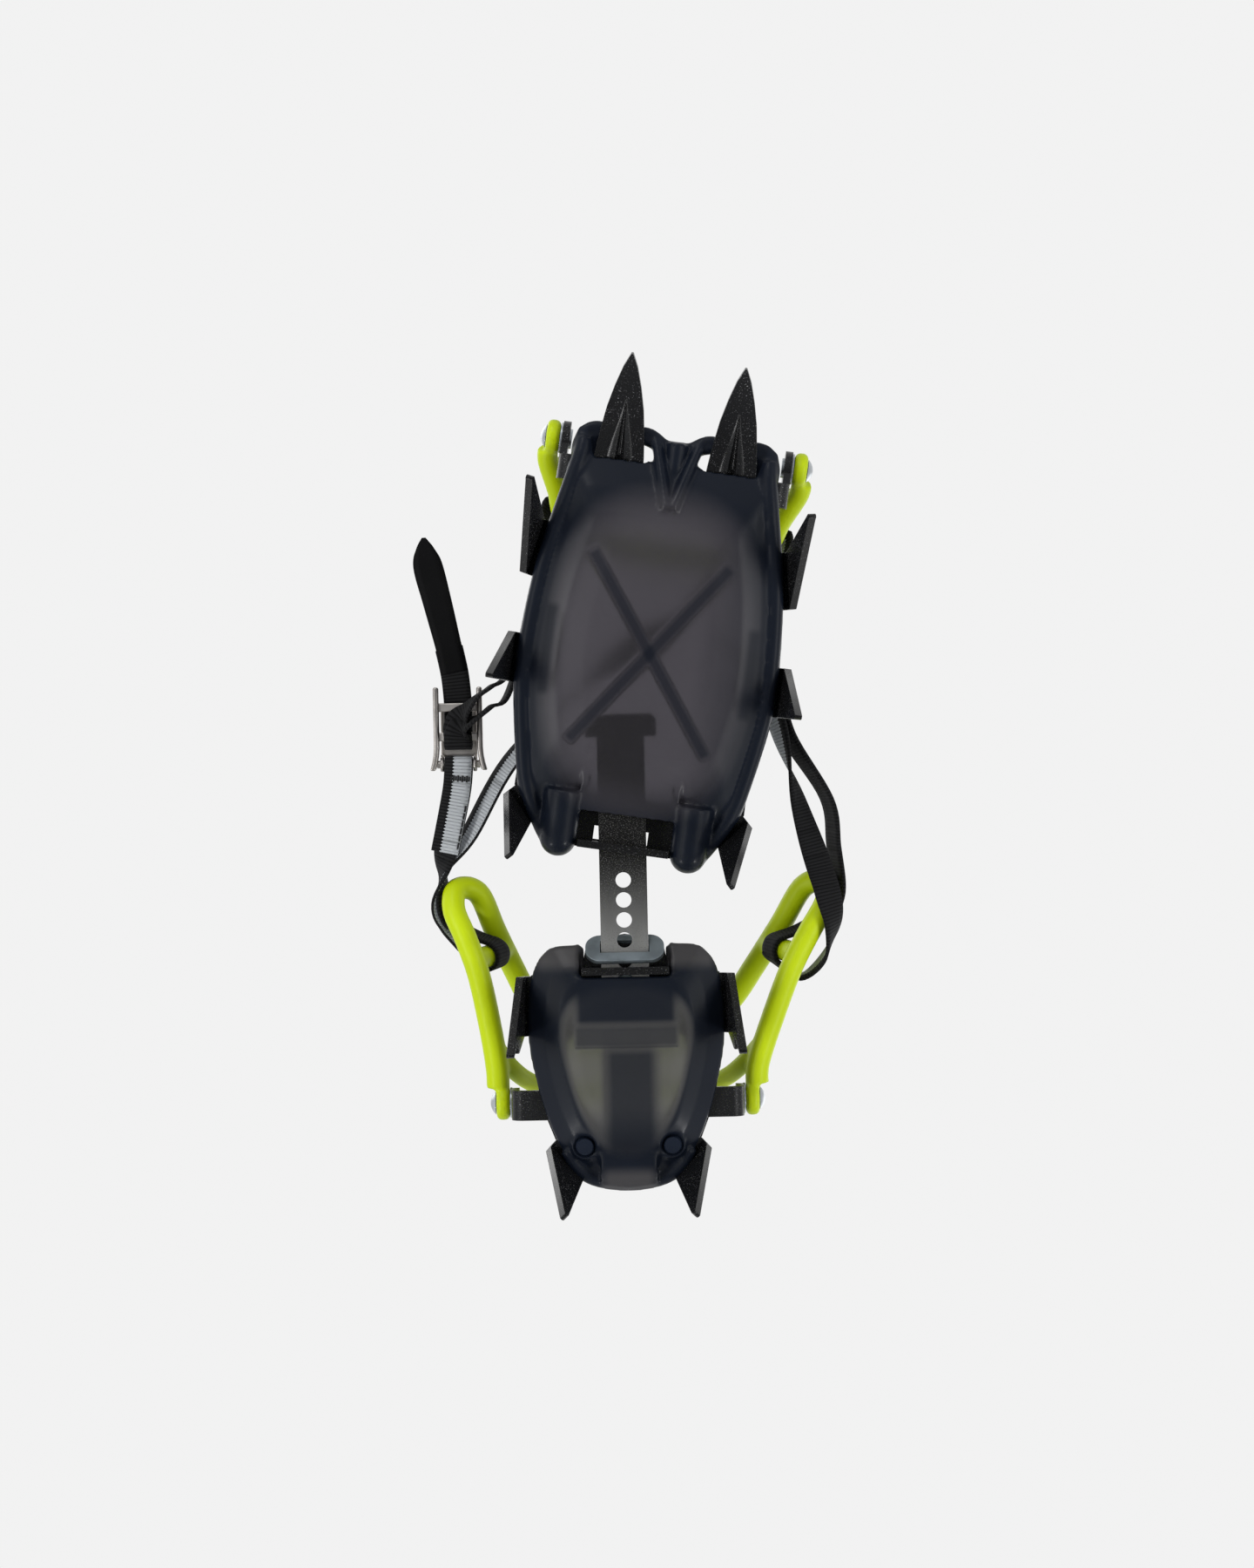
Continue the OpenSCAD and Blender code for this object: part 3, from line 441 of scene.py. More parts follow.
def bar_steel():
    """Pitted steel that is dark towards the front and paler towards the heel."""
    made = Finish("bar_steel")
    pits = made.noise(scale=2100, detail=4)
    grain = made.noise(scale=700, detail=3, stretch=(1, 0.12, 1))
    along = made.add("ShaderNodeSeparateXYZ", {"Vector": made.place}).outputs["Y"]
    heelward = made.ramp(along, SWIVEL.y, SWIVEL.y - BAR_PALING)
    black = times(colours().bar, 0.16)
    pale = times(colours().bar, 4.2)
    body = made.between(heelward, black, pale)
    made.surface(
        Base_Color=made.between(made.ramp(pits, 0.5, 0.72), body, times(colours().bar, 1.9)),
        Metallic=0.85,
        Roughness=made.spread(grain, 0.34, 0.5),
    )
    made.bump(pits, strength=0.2, distance=0.08 * MM, base=made.rounded(sizes().edge * 0.6))
    return made.material


# The pale face, as shares of the way round the webbing: its far edge, its margin and the ribs' step in it
FACE_END = 1.02 / 3
MARGIN_END = 0.33 / 3
MARGIN_STEP = 0.022
YARNS = 96


def webbing(name, pale_faces):
    """Ribbed webbing: a black face, and a pale face with a black margin along one edge."""
    made = Finish(name)
    mapped = made.add("ShaderNodeUVMap", uv_map="webbing").outputs[0]
    split = made.add("ShaderNodeSeparateXYZ", {"Vector": mapped})
    around, along = split.outputs["X"], split.outputs["Y"]
    turns = made.math("MULTIPLY", along, 2 * math.pi / sizes().rib_pitch)
    rib = made.math("ADD", made.math("MULTIPLY", made.math("SINE", turns), 0.5), 0.5)
    yarn = made.math("SINE", made.math("MULTIPLY", around, 2 * math.pi * YARNS))
    height = made.math("ADD", made.math("MULTIPLY", rib, 0.8), made.math("MULTIPLY", yarn, 0.12))
    wear = made.noise(scale=420, detail=3)
    # Painted shade: the grooves between the ribs are darker on both faces
    painted_groove_shade = made.ramp(rib, 0.05, 0.55)
    tint = made.between(painted_groove_shade, times(colours().web_black, 0.35), times(colours().web_black, 1.6))
    if pale_faces:
        pale = colours().web_grey
        grey = made.between(painted_groove_shade, times(pale, 0.5), pale)
        grey = made.between(made.ramp(wear, 0.35, 0.75), grey, times(pale, 0.82))
        step = made.math("MULTIPLY", made.math("SUBTRACT", rib, 0.5), MARGIN_STEP)
        edge = made.math("ADD", around, step)
        inner = made.math("GREATER_THAN", edge, MARGIN_END)
        outer = made.math("LESS_THAN", edge, FACE_END)
        tint = made.between(made.math("MULTIPLY", inner, outer), tint, grey)
    made.surface(Base_Color=tint, Roughness=0.78, Specular_IOR_Level=0.1, Sheen_Weight=0.03)
    made.bump(height, strength=0.75, distance=0.22 * MM)
    return made.material


def strap_end():
    """Sealed black end of the strap, smoother than the webbing."""
    made = Finish("strap_end")
    grain = made.noise(scale=1900, detail=3)
    smear = made.noise(scale=70, detail=2)
    black = colours().web_black
    made.surface(
        Base_Color=made.between(smear, times(black, 0.3), times(black, 0.7)),
        Roughness=made.spread(grain, 0.5, 0.68),
        Specular_IOR_Level=0.06,
    )
    made.bump(grain, strength=0.15, distance=0.06 * MM)
    return made.material


def thread():
    """Twisted sewing thread."""
    made = Finish("sewing_thread")
    twist = made.noise(scale=3200, detail=2)
    black = colours().web_black
    made.surface(Base_Color=made.between(twist, times(black, 0.5), times(black, 1.8)),
                 Roughness=0.7, Specular_IOR_Level=0.3)
    made.bump(twist, strength=0.4, distance=0.08 * MM)
    return made.material


# Pieces


WELD_GAP = 0.002 * MM


def wear_on(piece, material):
    piece.data.materials.clear()
    piece.data.materials.append(material)


def finish_node(node, material, angle=38.0):
    """A CAD piece gets its finish, and its curved faces are shaded smooth."""
    piece = frame["nodes"][node]
    wear_on(piece, material)
    for face in piece.data.polygons:
        face.use_smooth = True
        face.material_index = 0
    weld = piece.modifiers.new("weld", "WELD")
    weld.merge_threshold = WELD_GAP
    split = piece.modifiers.new("crease", "EDGE_SPLIT")
    split.split_angle = math.radians(angle)
    split.use_edge_sharp = False


def object_from(name, shape, material):
    """A new object from a bmesh."""
    data = bpy.data.meshes.new(name)
    shape.to_mesh(data)
    shape.free()
    made = bpy.data.objects.new(name, data)
    bpy.context.scene.collection.objects.link(made)
    wear_on(made, material)
    return made


def middle_of(element):
    """Middle of a vertex, an edge or a face, as numbers that sort."""
    verts = getattr(element, "verts", [element])
    return tuple(sum((vert.co for vert in verts), Vector()) / len(verts))


def settle(shape):
    """Orders a bmesh by place, because operators such as extrude and bevel give no fixed order."""
    for elements in (shape.verts, shape.edges, shape.faces):
        for number, element in enumerate(sorted(elements, key=middle_of)):
            element.index = number
        elements.sort()


def piece_from(name, shape, material):
    """A new piece from a bmesh, with smooth faces that point outwards."""
    bmesh.ops.recalc_face_normals(shape, faces=shape.faces)
    settle(shape)
    piece = object_from(name, shape, material)
    for face in piece.data.polygons:
        face.use_smooth = True
    return piece


def add_bar(shape, places, diameter):
    """A round bar along places, added to a bmesh."""
    line = bpy.data.curves.new("bar", "CURVE")
    line.dimensions = "3D"
    line.bevel_depth = diameter / 2
    line.bevel_resolution = 6
    line.use_fill_caps = True
    spline = line.splines.new("POLY")
    spline.points.add(len(places) - 1)
    for point, place in zip(spline.points, places):
        point.co = (*place, 1)
    holder = bpy.data.objects.new("bar", line)
    bpy.context.scene.collection.objects.link(holder)
    bpy.context.view_layer.update()
    built = holder.evaluated_get(bpy.context.evaluated_depsgraph_get())
    data = bpy.data.meshes.new_from_object(built)
    shape.from_mesh(data)
    bpy.data.objects.remove(holder)
    bpy.data.curves.remove(line)
    bpy.data.meshes.remove(data)


def along_x(axis, place):
    """Turns X to an axis and moves to a place."""
    return Matrix.Translation(place) @ axis.to_track_quat("X", "Z").to_matrix().to_4x4()


def add_ring(shape, placed, bore, outside, low, high, ease):
    """A ring round X with eased outer edges, added to a bmesh."""
    profile = [(low, bore), (low, outside - ease), (low + ease, outside), (high - ease, outside),
               (high, outside - ease), (high, bore)]
    corners = [shape.verts.new(placed @ Vector((x, 0, r))) for x, r in profile]
    edges = [shape.edges.new((a, b)) for a, b in zip(corners, corners[1:] + corners[:1])]
    axis = placed.to_3x3() @ Vector((1, 0, 0))
    bmesh.ops.spin(shape, geom=corners + edges, cent=placed.translation, axis=axis, angle=2 * math.pi,
                   steps=48, use_merge=True, use_duplicate=False)


def mould(piece, detail):
    """One smooth moulding from overlapping forms, with soft inner corners."""
    remesh = piece.modifiers.new("one_moulding", "REMESH")
    remesh.mode = "VOXEL"
    remesh.voxel_size = detail
    remesh.use_smooth_shade = True
    smooth = piece.modifiers.new("soft_corners", "SMOOTH")
    smooth.factor = 0.5
    smooth.iterations = 8


# The bails' lugs: bore, outside, place along their rivets and rounding
RIVET_RADIUS = 3.0 * MM
PIN_CLEAR = 0.05 * MM
LUG_RADIUS = 7.0 * MM
LUG_FROM = 47.95 * MM
LUG_TO = 53.55 * MM
LUG_EASE = 1.3 * MM
BAR_START = 5.9
PATH_STEPS = 8


def mirrored(half):
    """A path across from its left half."""
    return half + [(-x, y, z) for x, y, z in reversed(half[:-1])]


def add_lugs(shape, axis, hinge):
    """The two eyes of a bail on its rivets."""
    for side in (-1, 1):
        placed = along_x(axis * side, hinge)
        add_ring(shape, placed, RIVET_RADIUS + PIN_CLEAR, LUG_RADIUS, LUG_FROM, LUG_TO, LUG_EASE)


def toe_bail_paths():
    """Left halves of the toe bail's bar and of its brace."""
    arm = LUG_FROM / MM + sizes().toe_bar / MM / 2
    over = [
        (arm, BAR_START, 0), (arm - 0.6, 12, 0), (46.5, 25, 0), (43, 37, 1), (34, 47, 4), (18, 52, 8),
        (0, 53.5, 9)
    ]
    brace = [(arm - 1.6, 13, 1), (46.4, 17, 6), (37, 20, 11), (20, 22.5, 14.5), (0, 23, 15.5)]
    return over, brace


# The heel bail's strap posts, from low to high end
POST_LOW = (65.4, 58, 2)
POST_HIGH = (54.6, 61, 26.5)
POST_RADIUS = 4.6


def heel_bail_paths():
    """Left halves of the heel bail's bar and of its brace."""
    arm = LUG_FROM / MM + sizes().heel_bar / MM / 2
    over = [
        (arm, BAR_START, 0), (arm + 0.4, 14, 0), (57, 30, 0), (63.5, 52, 0), (70, 67, 1), (76, 79, 4),
        (75.5, 87, 10), (67, 85, 16), (59, 69, 23), (50, 52, 31), (42, 38, 37), (31, 26, 43), (17, 19, 47),
        (0, 17, 48)
    ]
    brace = [(55.4, 24, 0), (48, 14, 7), (41, 7, 19), (32, 2, 32), (19, 0, 42), (0, -1, 45)]
    return over, brace


class CRAMPON_OT_steel(bpy.types.Operator):
    """Black coat on the pressed frames"""

    bl_idname = "crampon.steel"
    bl_label = "Pressed frames"

    def execute(self, context):
        material = coated_steel()
        for node in ("front_frame", "heel_frame"):
            finish_node(node, material, 30)
        return {"FINISHED"}


# Rolled rim and front lip of the front plate, as across, along and up in the front section
RIM_LEVEL = 35.4
RIM_SIDE = (
    (29.5, -9.5), (33.4, -4), (38.4, 4.5), (41.6, 12), (43.8, 20), (47.4, 40), (49.2, 55), (49.2, 70),
    (48, 90), (45.8, 108), (43, 122), (40.6, 134)
)
RIM_PATH = [(x, y, RIM_LEVEL) for x, y in RIM_SIDE] + [(38.2, 146, 36.6), (37.6, 153, 38.4)]
RIM_BEAD = 6.8 * MM
LIP_PATH = [(38, 150, 39), (37.6, 155.5, 39.2), (34, 158.4, 39.2), (24, 158.4, 39.2), (13.5, 158.6, 39.2),
            (9.5, 157.4, 39.2), (5, 154.6, 39.2), (0, 154.2, 39.2)]
LIP_BEAD = 4.6 * MM
OUTER_FILL = [(33.4, 143.5, 38.6), (33.6, 157, 39)]
OUTER_FILL_BEAD = 3.2 * MM
INNER_FILL = [(14.4, 156, 39), (11.4, 155, 39), (8, 154.2, 39)]
NOSE_PATH = [(9, 156, 38.4), (6.6, 148, 35.6), (3.8, 138, 32), (1.2, 128, 28.6)]
NOSE_BEAD = 4.4 * MM
FRONT_BEADS = (
    (RIM_PATH, RIM_BEAD), (NOSE_PATH, NOSE_BEAD), (OUTER_FILL, OUTER_FILL_BEAD), (INNER_FILL, LIP_BEAD),
)
# Closed rear wall and the sides of the notch of the heel plate, from the heel's rivets
REAR_WALL = [(25, -18, 36.2), (21.5, -24.4, 36.2), (16, -29, 36.2), (8, -31.4, 36.2), (0, -32, 36.2)]
REAR_BEAD = 5.4 * MM
REAR_FILL = [(11, -29.2, 34.4), (0, -30.4, 34.4)]
REAR_FILL_BEAD = 6.4 * MM
# Rows that close the floor ahead of the rear wall, under the bar's way: place along and height
REAR_FLOOR = ((-20.4, 30.2), (-21.9, 30.2), (-23.4, 30.2), (-24.9, 30.2), (-26.4, 30.5), (-27.9, 31.2))
REAR_FLOOR_HALF = 11.5
REAR_FLOOR_BEAD = 2.7 * MM
NOTCH_SIDE = [(18, 51.5, 37.3), (17.8, 63.5, 37.3)]
NOTCH_BEAD = 3.2 * MM
STUD_PALER = 1.6


def heel_level(point):
    """A place of the heel section, ahead of its rivets and above the ground."""
    placed = heel_at((point[0], point[1], 0))
    return Vector((placed.x, placed.y, point[2] * MM))


COPY_GAP = 0.005 * MM


def cad_copy(node):
    """The surface of a CAD piece as one closed bmesh."""
    shape = bmesh.new()
    shape.from_mesh(frame["nodes"][node].data)
    bmesh.ops.remove_doubles(shape, verts=shape.verts, dist=COPY_GAP)
    return shape


def place_moulding(name, shape, material, node):
    """A moulded piece that stands for a CAD node and moves as it does."""
    piece = piece_from(name, shape, material)
    mould(piece, sizes().moulding)
    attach(piece, PARENT_OF[node])
    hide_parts(node)


class CRAMPON_OT_plates(bpy.types.Operator):
    """Smoke plastic plates under the boot with rolled rims, and their studs"""

    bl_idname = "crampon.plates"
    bl_label = "Anti-balling plates"

    def execute(self, context):
        self.make_front()
        self.make_heel()
        studs = moulded_plastic("stud_plastic", times(colours().smoke, STUD_PALER), roughness=0.35)
        finish_node("heel_plate_studs", studs)
        return {"FINISHED"}

    def make_front(self):
        plate = cad_copy("front_plate")
        for side in (-1, 1):
            for path, bead in FRONT_BEADS:
                places = [front_at((side * x, y, z)) for x, y, z in path]
                add_bar(plate, through(places, PATH_STEPS), bead)
        add_bar(plate, through([front_at(p) for p in mirrored(LIP_PATH)], PATH_STEPS), LIP_BEAD)
        frosted = smoke_plastic("smoke_front", front_at(FRONT_MIDDLE), FRONT_YAW, FRONT_WINDOW,
                                colours().front_glow, FRONT_PAINTED_SHADOWS)
        place_moulding("moulded_front_plate", plate, frosted, "front_plate")

    def make_heel(self):
        plate = cad_copy("heel_plate")
        for path, bead in ((REAR_WALL, REAR_BEAD), (REAR_FILL, REAR_FILL_BEAD)):
            add_bar(plate, through([heel_level(p) for p in mirrored(path)], PATH_STEPS), bead)
        for y, z in REAR_FLOOR:
            row = [heel_level((side * REAR_FLOOR_HALF, y, z)) for side in (-1, 1)]
            add_bar(plate, row, REAR_FLOOR_BEAD)
        for side in (-1, 1):
            add_bar(plate, [heel_level((side * x, y, z)) for x, y, z in NOTCH_SIDE], NOTCH_BEAD)
        frosted = smoke_plastic("smoke_heel", heel_at(HEEL_MIDDLE), 0.0, HEEL_WINDOW,
                                colours().heel_glow, HEEL_PAINTED_SHADOWS, HEEL_PAINTED_GLOW)
        place_moulding("moulded_heel_plate", plate, frosted, "heel_plate")


class CRAMPON_OT_fittings(bpy.types.Operator):
    """Bar, lock, rivets and washers"""

    bl_idname = "crampon.fittings"
    bl_label = "Bar, lock and rivets"

    def execute(self, context):
        rivet = plated_steel("rivet_steel", colours().rivet, roughness=0.3)
        zinc = plated_steel("zinc_steel", colours().zinc, roughness=0.36)
        finish_node("linking_bar", bar_steel())
        for node in ("lock_tongue", "lock_ring"):
            finish_node(node, zinc)
        for bail in ("toe_bail", "heel_bail"):
            for kind in ("rivets", "washers"):
                finish_node(f"{bail}_{kind}", rivet)
        finish_node("lock_rivets", rivet)
        return {"FINISHED"}


class CRAMPON_OT_bails(bpy.types.Operator):
    """Moulded toe and heel bails with soft corners"""

    bl_idname = "crampon.bails"
    bl_label = "Bails"

    def execute(self, context):
        material = moulded_plastic("lime_plastic", colours().lime, roughness=0.42)
        toe = bmesh.new()
        self.add_bars(toe, toe_bail_paths(), toe_at, sizes().toe_bar)
        add_lugs(toe, TOE_AXIS, TOE_HINGE)
        place_moulding("moulded_toe_bail", toe, material, "toe_bail")
        heel = bmesh.new()
        self.add_bars(heel, heel_bail_paths(), heel_bail_at, sizes().heel_bar)
        for side in (-1, 1):
            ends = [heel_bail_at((side * x, y, z)) for x, y, z in (POST_LOW, POST_HIGH)]
            add_bar(heel, ends, 2 * POST_RADIUS * MM)
        add_lugs(heel, HEEL_AXIS, HEEL_HINGE)
        place_moulding("moulded_heel_bail", heel, material, "heel_bail")
        return {"FINISHED"}

    def add_bars(self, shape, halves, placed, diameter):
        """A bail's bar and its thinner brace, from their left halves."""
        for half, thick in zip(halves, (diameter, sizes().brace_bar)):
            add_bar(shape, through([placed(point) for point in mirrored(half)], PATH_STEPS), thick)


# The strap's route, in the same control places as its solids, in millimetres

SOFT_CLEAR = 0.4
PIN_Y = -14.5
BUCKLE = CAM_HINGE / MM - Vector((0, PIN_Y, 0))
PIN = BUCKLE + Vector((0, PIN_Y, 0))
PIN_RADIUS = 1.6
BUCKLE_THICK = 1.6
MID_BAR = -5.0
FLAT = Vector((1, 0, 0))
STANDING = Vector((0.2, 0, 1))
WRAP_STEPS = 4


def wrap_radius(bar):
    return bar + SOFT_CLEAR + sizes().strap_thick / MM / 2


def held(width, places):
    """Places of the strap that share one direction of its width."""
    return [(Vector(place), Vector(width)) for place in places]


def turned_over(controls):
    """The same stretch with its other face outwards."""
    return [(*control[:2], math.pi) for control in controls]


def wrap(centre, axis, back, radius, start=-90, stop=90):
    """Part of a turn round a bar: 0 degrees is the side named by back."""
    a = Vector(axis).normalized()
    b = (Vector(back) - Vector(back).dot(a) * a).normalized()
    k = a.cross(b)
    turns = [math.radians(start + (stop - start) * i / WRAP_STEPS) for i in range(WRAP_STEPS + 1)]
    return [(centre + radius * (math.cos(g) * b + math.sin(g) * k), a) for g in turns]


def bail_side(side, place):
    """A place of the heel bail's left or right side, in millimetres."""
    return heel_bail_at((side * place[0], place[1], place[2])) / MM


def front_mm(*place):
    return front_at(place) / MM


def post_middle(side):
    return (bail_side(side, POST_LOW) + bail_side(side, POST_HIGH)) / 2


def post_axis(side):
    return bail_side(side, POST_HIGH) - bail_side(side, POST_LOW)


OUTWARD = Vector((0.77, -0.44, 0.45)).normalized()
CORNER_PLACES = (Vector((76.5, 73.5, 15.2)), Vector((80.3, 83.9, 11.7)))
FROM_POST = ((65, 67, 13.5), (70.5, 69.5, 14.5))
TOE_WRAP_CLEAR = 2


def window_width(side):
    """Direction of the strap's width inside the heel bail's loop."""
    return (-0.45 * side, 0.1, 0.9)


def past_corner(side, lift):
    """Round the outer corner of the heel bail's loop, lifted off it."""
    return held(window_width(side), [bail_side(side, place + OUTWARD * lift) for place in CORNER_PLACES])


def from_post(side):
    return held(window_width(side), [bail_side(side, place) for place in FROM_POST])


def toe_wrap(side, start=-90):
    """Round one side of the toe bail's bar."""
    before, centre, after = [toe_at((side * x, y, z)) / MM for x, y, z in toe_bail_paths()[0][2:5]]
    back = FRONT_TURN @ Vector((0, 1, 0.3))
    radius = wrap_radius(sizes().toe_bar / MM / 2) + TOE_WRAP_CLEAR
    return wrap(centre, after - before, back, radius, start)


def ring_turn(centre, back, radius):
    """Half a turn round a bar of the buckle, with the strap's width kept flat."""
    return [(place, FLAT) for place, axis in wrap(centre, FLAT, back, radius)]


def near(centre, *places):
    return [centre + Vector(place) for place in places]


def main_run():
    """Sewn end, buckle, left heel post, right of the toe bail, right heel post, sewn end."""
    layer = sizes().strap_thick / MM + SOFT_CLEAR
    post_r = wrap_radius(POST_RADIUS)
    left = (
        held(FLAT, near(PIN, (6.5, -36, 0.6), (3, -20, -0.6), (0.8, -9, -2.2)))
        + ring_turn(PIN, (0, 1, 0), wrap_radius(PIN_RADIUS))
        + held(FLAT, near(PIN, (0.8, -9, 2.2), (3, -20, 1.7)))
        + held((0.8, 0, 0.6), near(PIN, (6.6, -36, 3.6)))
        + past_corner(1, layer + 1.4)[::-1]
        + held(window_width(1), [bail_side(1, (72.4, 64.4, 16.5))])
        + wrap(post_middle(1), post_axis(1), (0, -1, 0), post_r, -150, 45)[::-1]
        + from_post(1)
        + past_corner(1, 0.9)
        + held((0.1, 0.2, 0.95), [bail_side(1, (80.4, 96, 11))])
        + held((0.52, 0.26, 0.81), [bail_side(1, (72, 110, 9.5)), front_mm(50.5, 20, PLATFORM + 20)])
        + held((0.6, -0.5, 0.5), [front_mm(28, 52, PLATFORM + 20)])
    )
    right = (
        held((0.6, -0.5, 0.5), [front_mm(-12, 90, PLATFORM + 24)])
        + toe_wrap(-1, -60)
        + held((0.5, 0, 0.85), [front_mm(-45, 86, PLATFORM + 25), front_mm(-51, 62, PLATFORM + 19)])
        + held((0.5, 0, 0.85), [front_mm(-57.5, 46, PLATFORM + 15)])
        + held((-0.6, 0, 0.8), [bail_side(-1, (62.4, 118, 3))])
        + held((-0.95, 0, 0.3), [bail_side(-1, (71, 96, 1)), bail_side(-1, (76, 83, -3))])
        + held((-0.6, 0.2, 0.8), [bail_side(-1, (79.4, 70, -1.5))])
        + held((0, 0.2, 1), [bail_side(-1, (77.5, 57, 5))])
        + held((0.1, 0.1, 1), [bail_side(-1, (68.5, 48.5, 12))])
        + wrap(post_middle(-1), post_axis(-1), (0, -1, 0), post_r, 30, 150)
        + from_post(-1)
        + past_corner(-1, 0.9)
        + held((0.4, 0.1, 0.9), [bail_side(-1, (77.8, 102, 10)), bail_side(-1, (73.4, 121, 8))])
        + held((0.5, 0, 0.85), [front_mm(-60.6, 46, PLATFORM + 16.5), front_mm(-53.6, 63, PLATFORM + 20.5)])
    )
    return left + turned_over(right)


TAIL_START = (69.4, 46, PLATFORM + 16.6)
TIP_THICK = 2.2 * MM
TIP_PLACES = [Vector((x, y, PLATFORM + up)) for x, y, up in (
    (69.55, 46.9, 16.6), (71.6, 57, 17), (76, 76, 17), (79.6, 91, 16.5), (80.6, 98, 16), (80.9, 102.2, 16))]
TIP_HALVES = (5.6, 5.4, 5.9, 6.0, 3.6, 0.8)
HALF_TURNED = (0.3, 0.25, 0.9)


def loop_run():
    """Sewn on the buckle's middle bar, round the left of the toe bail, and back over the buckle."""
    layer = sizes().strap_thick / MM + SOFT_CLEAR
    middle = BUCKLE + Vector((0, MID_BAR + BUCKLE_THICK / 2, 0))
    radius = wrap_radius(BUCKLE_THICK / 2)
    return turned_over(
        held(FLAT, near(middle, (0, 6, radius)))
        + ring_turn(middle, (0, -1, 0), radius)
        + held(FLAT, near(BUCKLE, (0, 1, -3)))
        + held(HALF_TURNED, near(BUCKLE, (-3.5, 7, -6.6)))
        + held(STANDING, near(BUCKLE, (-8.5, 12.5, -8.8), (-14, 16.5, -9.2), (-21, 22, -6.5)))
        + held(STANDING, [front_mm(46, 84, PLATFORM + 22)])
        + toe_wrap(1)[::-1]
        + held(STANDING, [front_mm(49.5, 84, PLATFORM + 24)])
        + held(STANDING, near(BUCKLE, (-21, 14, -6.5), (-14, 8.5, -9.4), (-8.5, 4.2, -9.2)))
        + held(HALF_TURNED, near(BUCKLE, (-3.5, 1.2, -7.6)))
        + held(FLAT, near(BUCKLE, (-0.6, -1.5, -4.8)))
        + ring_turn(middle, (0, -1, 0), radius + layer)[::-1]
        + held(FLAT, near(BUCKLE, (0, 3.6, 3.4), (0, 11, 2.1)) + [TAIL_START, TIP_PLACES[1]])
    )


RUN_STEPS = 8


def stations(controls):
    """Smooth places and width directions along a run, in metres, each with its distance from the start."""
    places = through([control[0] * MM for control in controls], RUN_STEPS)
    widths = through([control[1] for control in controls], RUN_STEPS)
    twists = through([control[2] if len(control) > 2 else 0.0 for control in controls], RUN_STEPS)
    made = []
    distance = 0.0
    for i, (place, ahead, width) in enumerate(zip(places, tangents(places), widths)):
        distance += (place - places[i - 1]).length if i else 0.0
        flat = (width - width.dot(ahead) * ahead).normalized()
        side = Matrix.Rotation(twists[i], 3, ahead) @ flat
        made.append((place, side, ahead.cross(side).normalized(), distance))
    return made


FACE_SHARES = (0.95, 0.5, 0.0, -0.5, -0.95)


def web_profile(half, thick):
    """The webbing's section: one face, an edge, the other face and an edge, as across and up."""
    flat = times(FACE_SHARES, half)
    top = [(x, thick / 2) for x in flat]
    return top + [(-half, 0.0)] + [(-x, -thick / 2) for x in flat] + [(half, 0.0)]


def next_ring(shape, ring, edges):
    """Extrudes a ring of edges and gives the new vertices, in the ring's order, and the new edges."""
    grown = bmesh.ops.extrude_edge_only(shape, edges=edges)["geom"]
    new_edges = [part for part in grown if isinstance(part, bmesh.types.BMEdge)
                 and all(vert not in ring for vert in part.verts)]
    fresh = {vert for edge in new_edges for vert in edge.verts}
    neighbours = [[edge.other_vert(vert) for edge in vert.link_edges] for vert in ring]
    return [next(other for other in others if other in fresh) for others in neighbours], new_edges


def add_web(shape, run, halves, thick):
    """A flat band along stations, extruded ring by ring, with a map of around and along."""
    around = shape.verts.layers.float.new("around")
    along = shape.verts.layers.float.new("along")
    ring = []
    edges = []
    for (place, side, up, distance), half in zip(run, halves):
        profile = web_profile(half, thick)
        if ring:
            ring, edges = next_ring(shape, ring, edges)
        else:
            ring = [shape.verts.new() for corner in profile]
            edges = [shape.edges.new(pair) for pair in zip(ring, ring[1:] + ring[:1])]
            shape.faces.new(ring)
        for i, (vert, (x, z)) in enumerate(zip(ring, profile)):
            vert.co = place + x * side + z * up
            vert[around] = i / len(profile)
            vert[along] = distance
    shape.faces.new(ring[::-1])
    bmesh.ops.recalc_face_normals(shape, faces=shape.faces)
    chart = shape.loops.layers.uv.new("webbing")
    for face in shape.faces:
        wraps = max(v[around] for v in face.verts) - min(v[around] for v in face.verts) > 0.5
        for loop in face.loops:
            share = loop.vert[around]
            loop[chart].uv = (share + 1 if wraps and share < 0.5 else share, loop.vert[along])


# Bodies that the strap follows, by its place along the crampon
STRAP_ZONES = (
    (-0.042, ("heel_bail",)),
    (-0.030, ("heel_bail", "heel_section")),
    (-0.021, ("heel_section", "link")),
    (0.002, ("link", "front_section")),
    (0.058, ("front_section",)),
    (0.092, ("front_section", "toe_bail")),
    (1.0, ("toe_bail",)),
)


def zone_of(y):
    return next(i for i, (limit, bodies) in enumerate(STRAP_ZONES) if y < limit)


def zone_runs(run):
    """Cuts a run into stretches that each lie in one zone, sharing their end stations."""
    found = []
    for i in range(len(run) - 1):
        zone = zone_of((run[i][0].y + run[i + 1][0].y) / 2)
        if found and found[-1][0] == zone:
            found[-1][1].append(run[i + 1])
        else:
            found.append((zone, [run[i], run[i + 1]]))
    return found


def follow(piece, zone):
    """A stretch of strap rides on its zone's body, or, in a zone between two bodies, stays fixed where it lies."""
    bodies = STRAP_ZONES[zone][1]
    if len(bodies) == 1:
        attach(piece, bodies[0])
    else:
        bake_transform(piece)


def lay_strap(name, run, material, node):
    """Webbing along a run, one piece for each stretch."""
    half = sizes().strap_width / 2
    for number, (zone, part) in enumerate(zone_runs(run)):
        shape = bmesh.new()
        add_web(shape, part, [half] * len(part), sizes().strap_thick)
        piece = piece_from(f"{name}_{number:02d}", shape, material)
        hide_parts(node)
        follow(piece, zone)


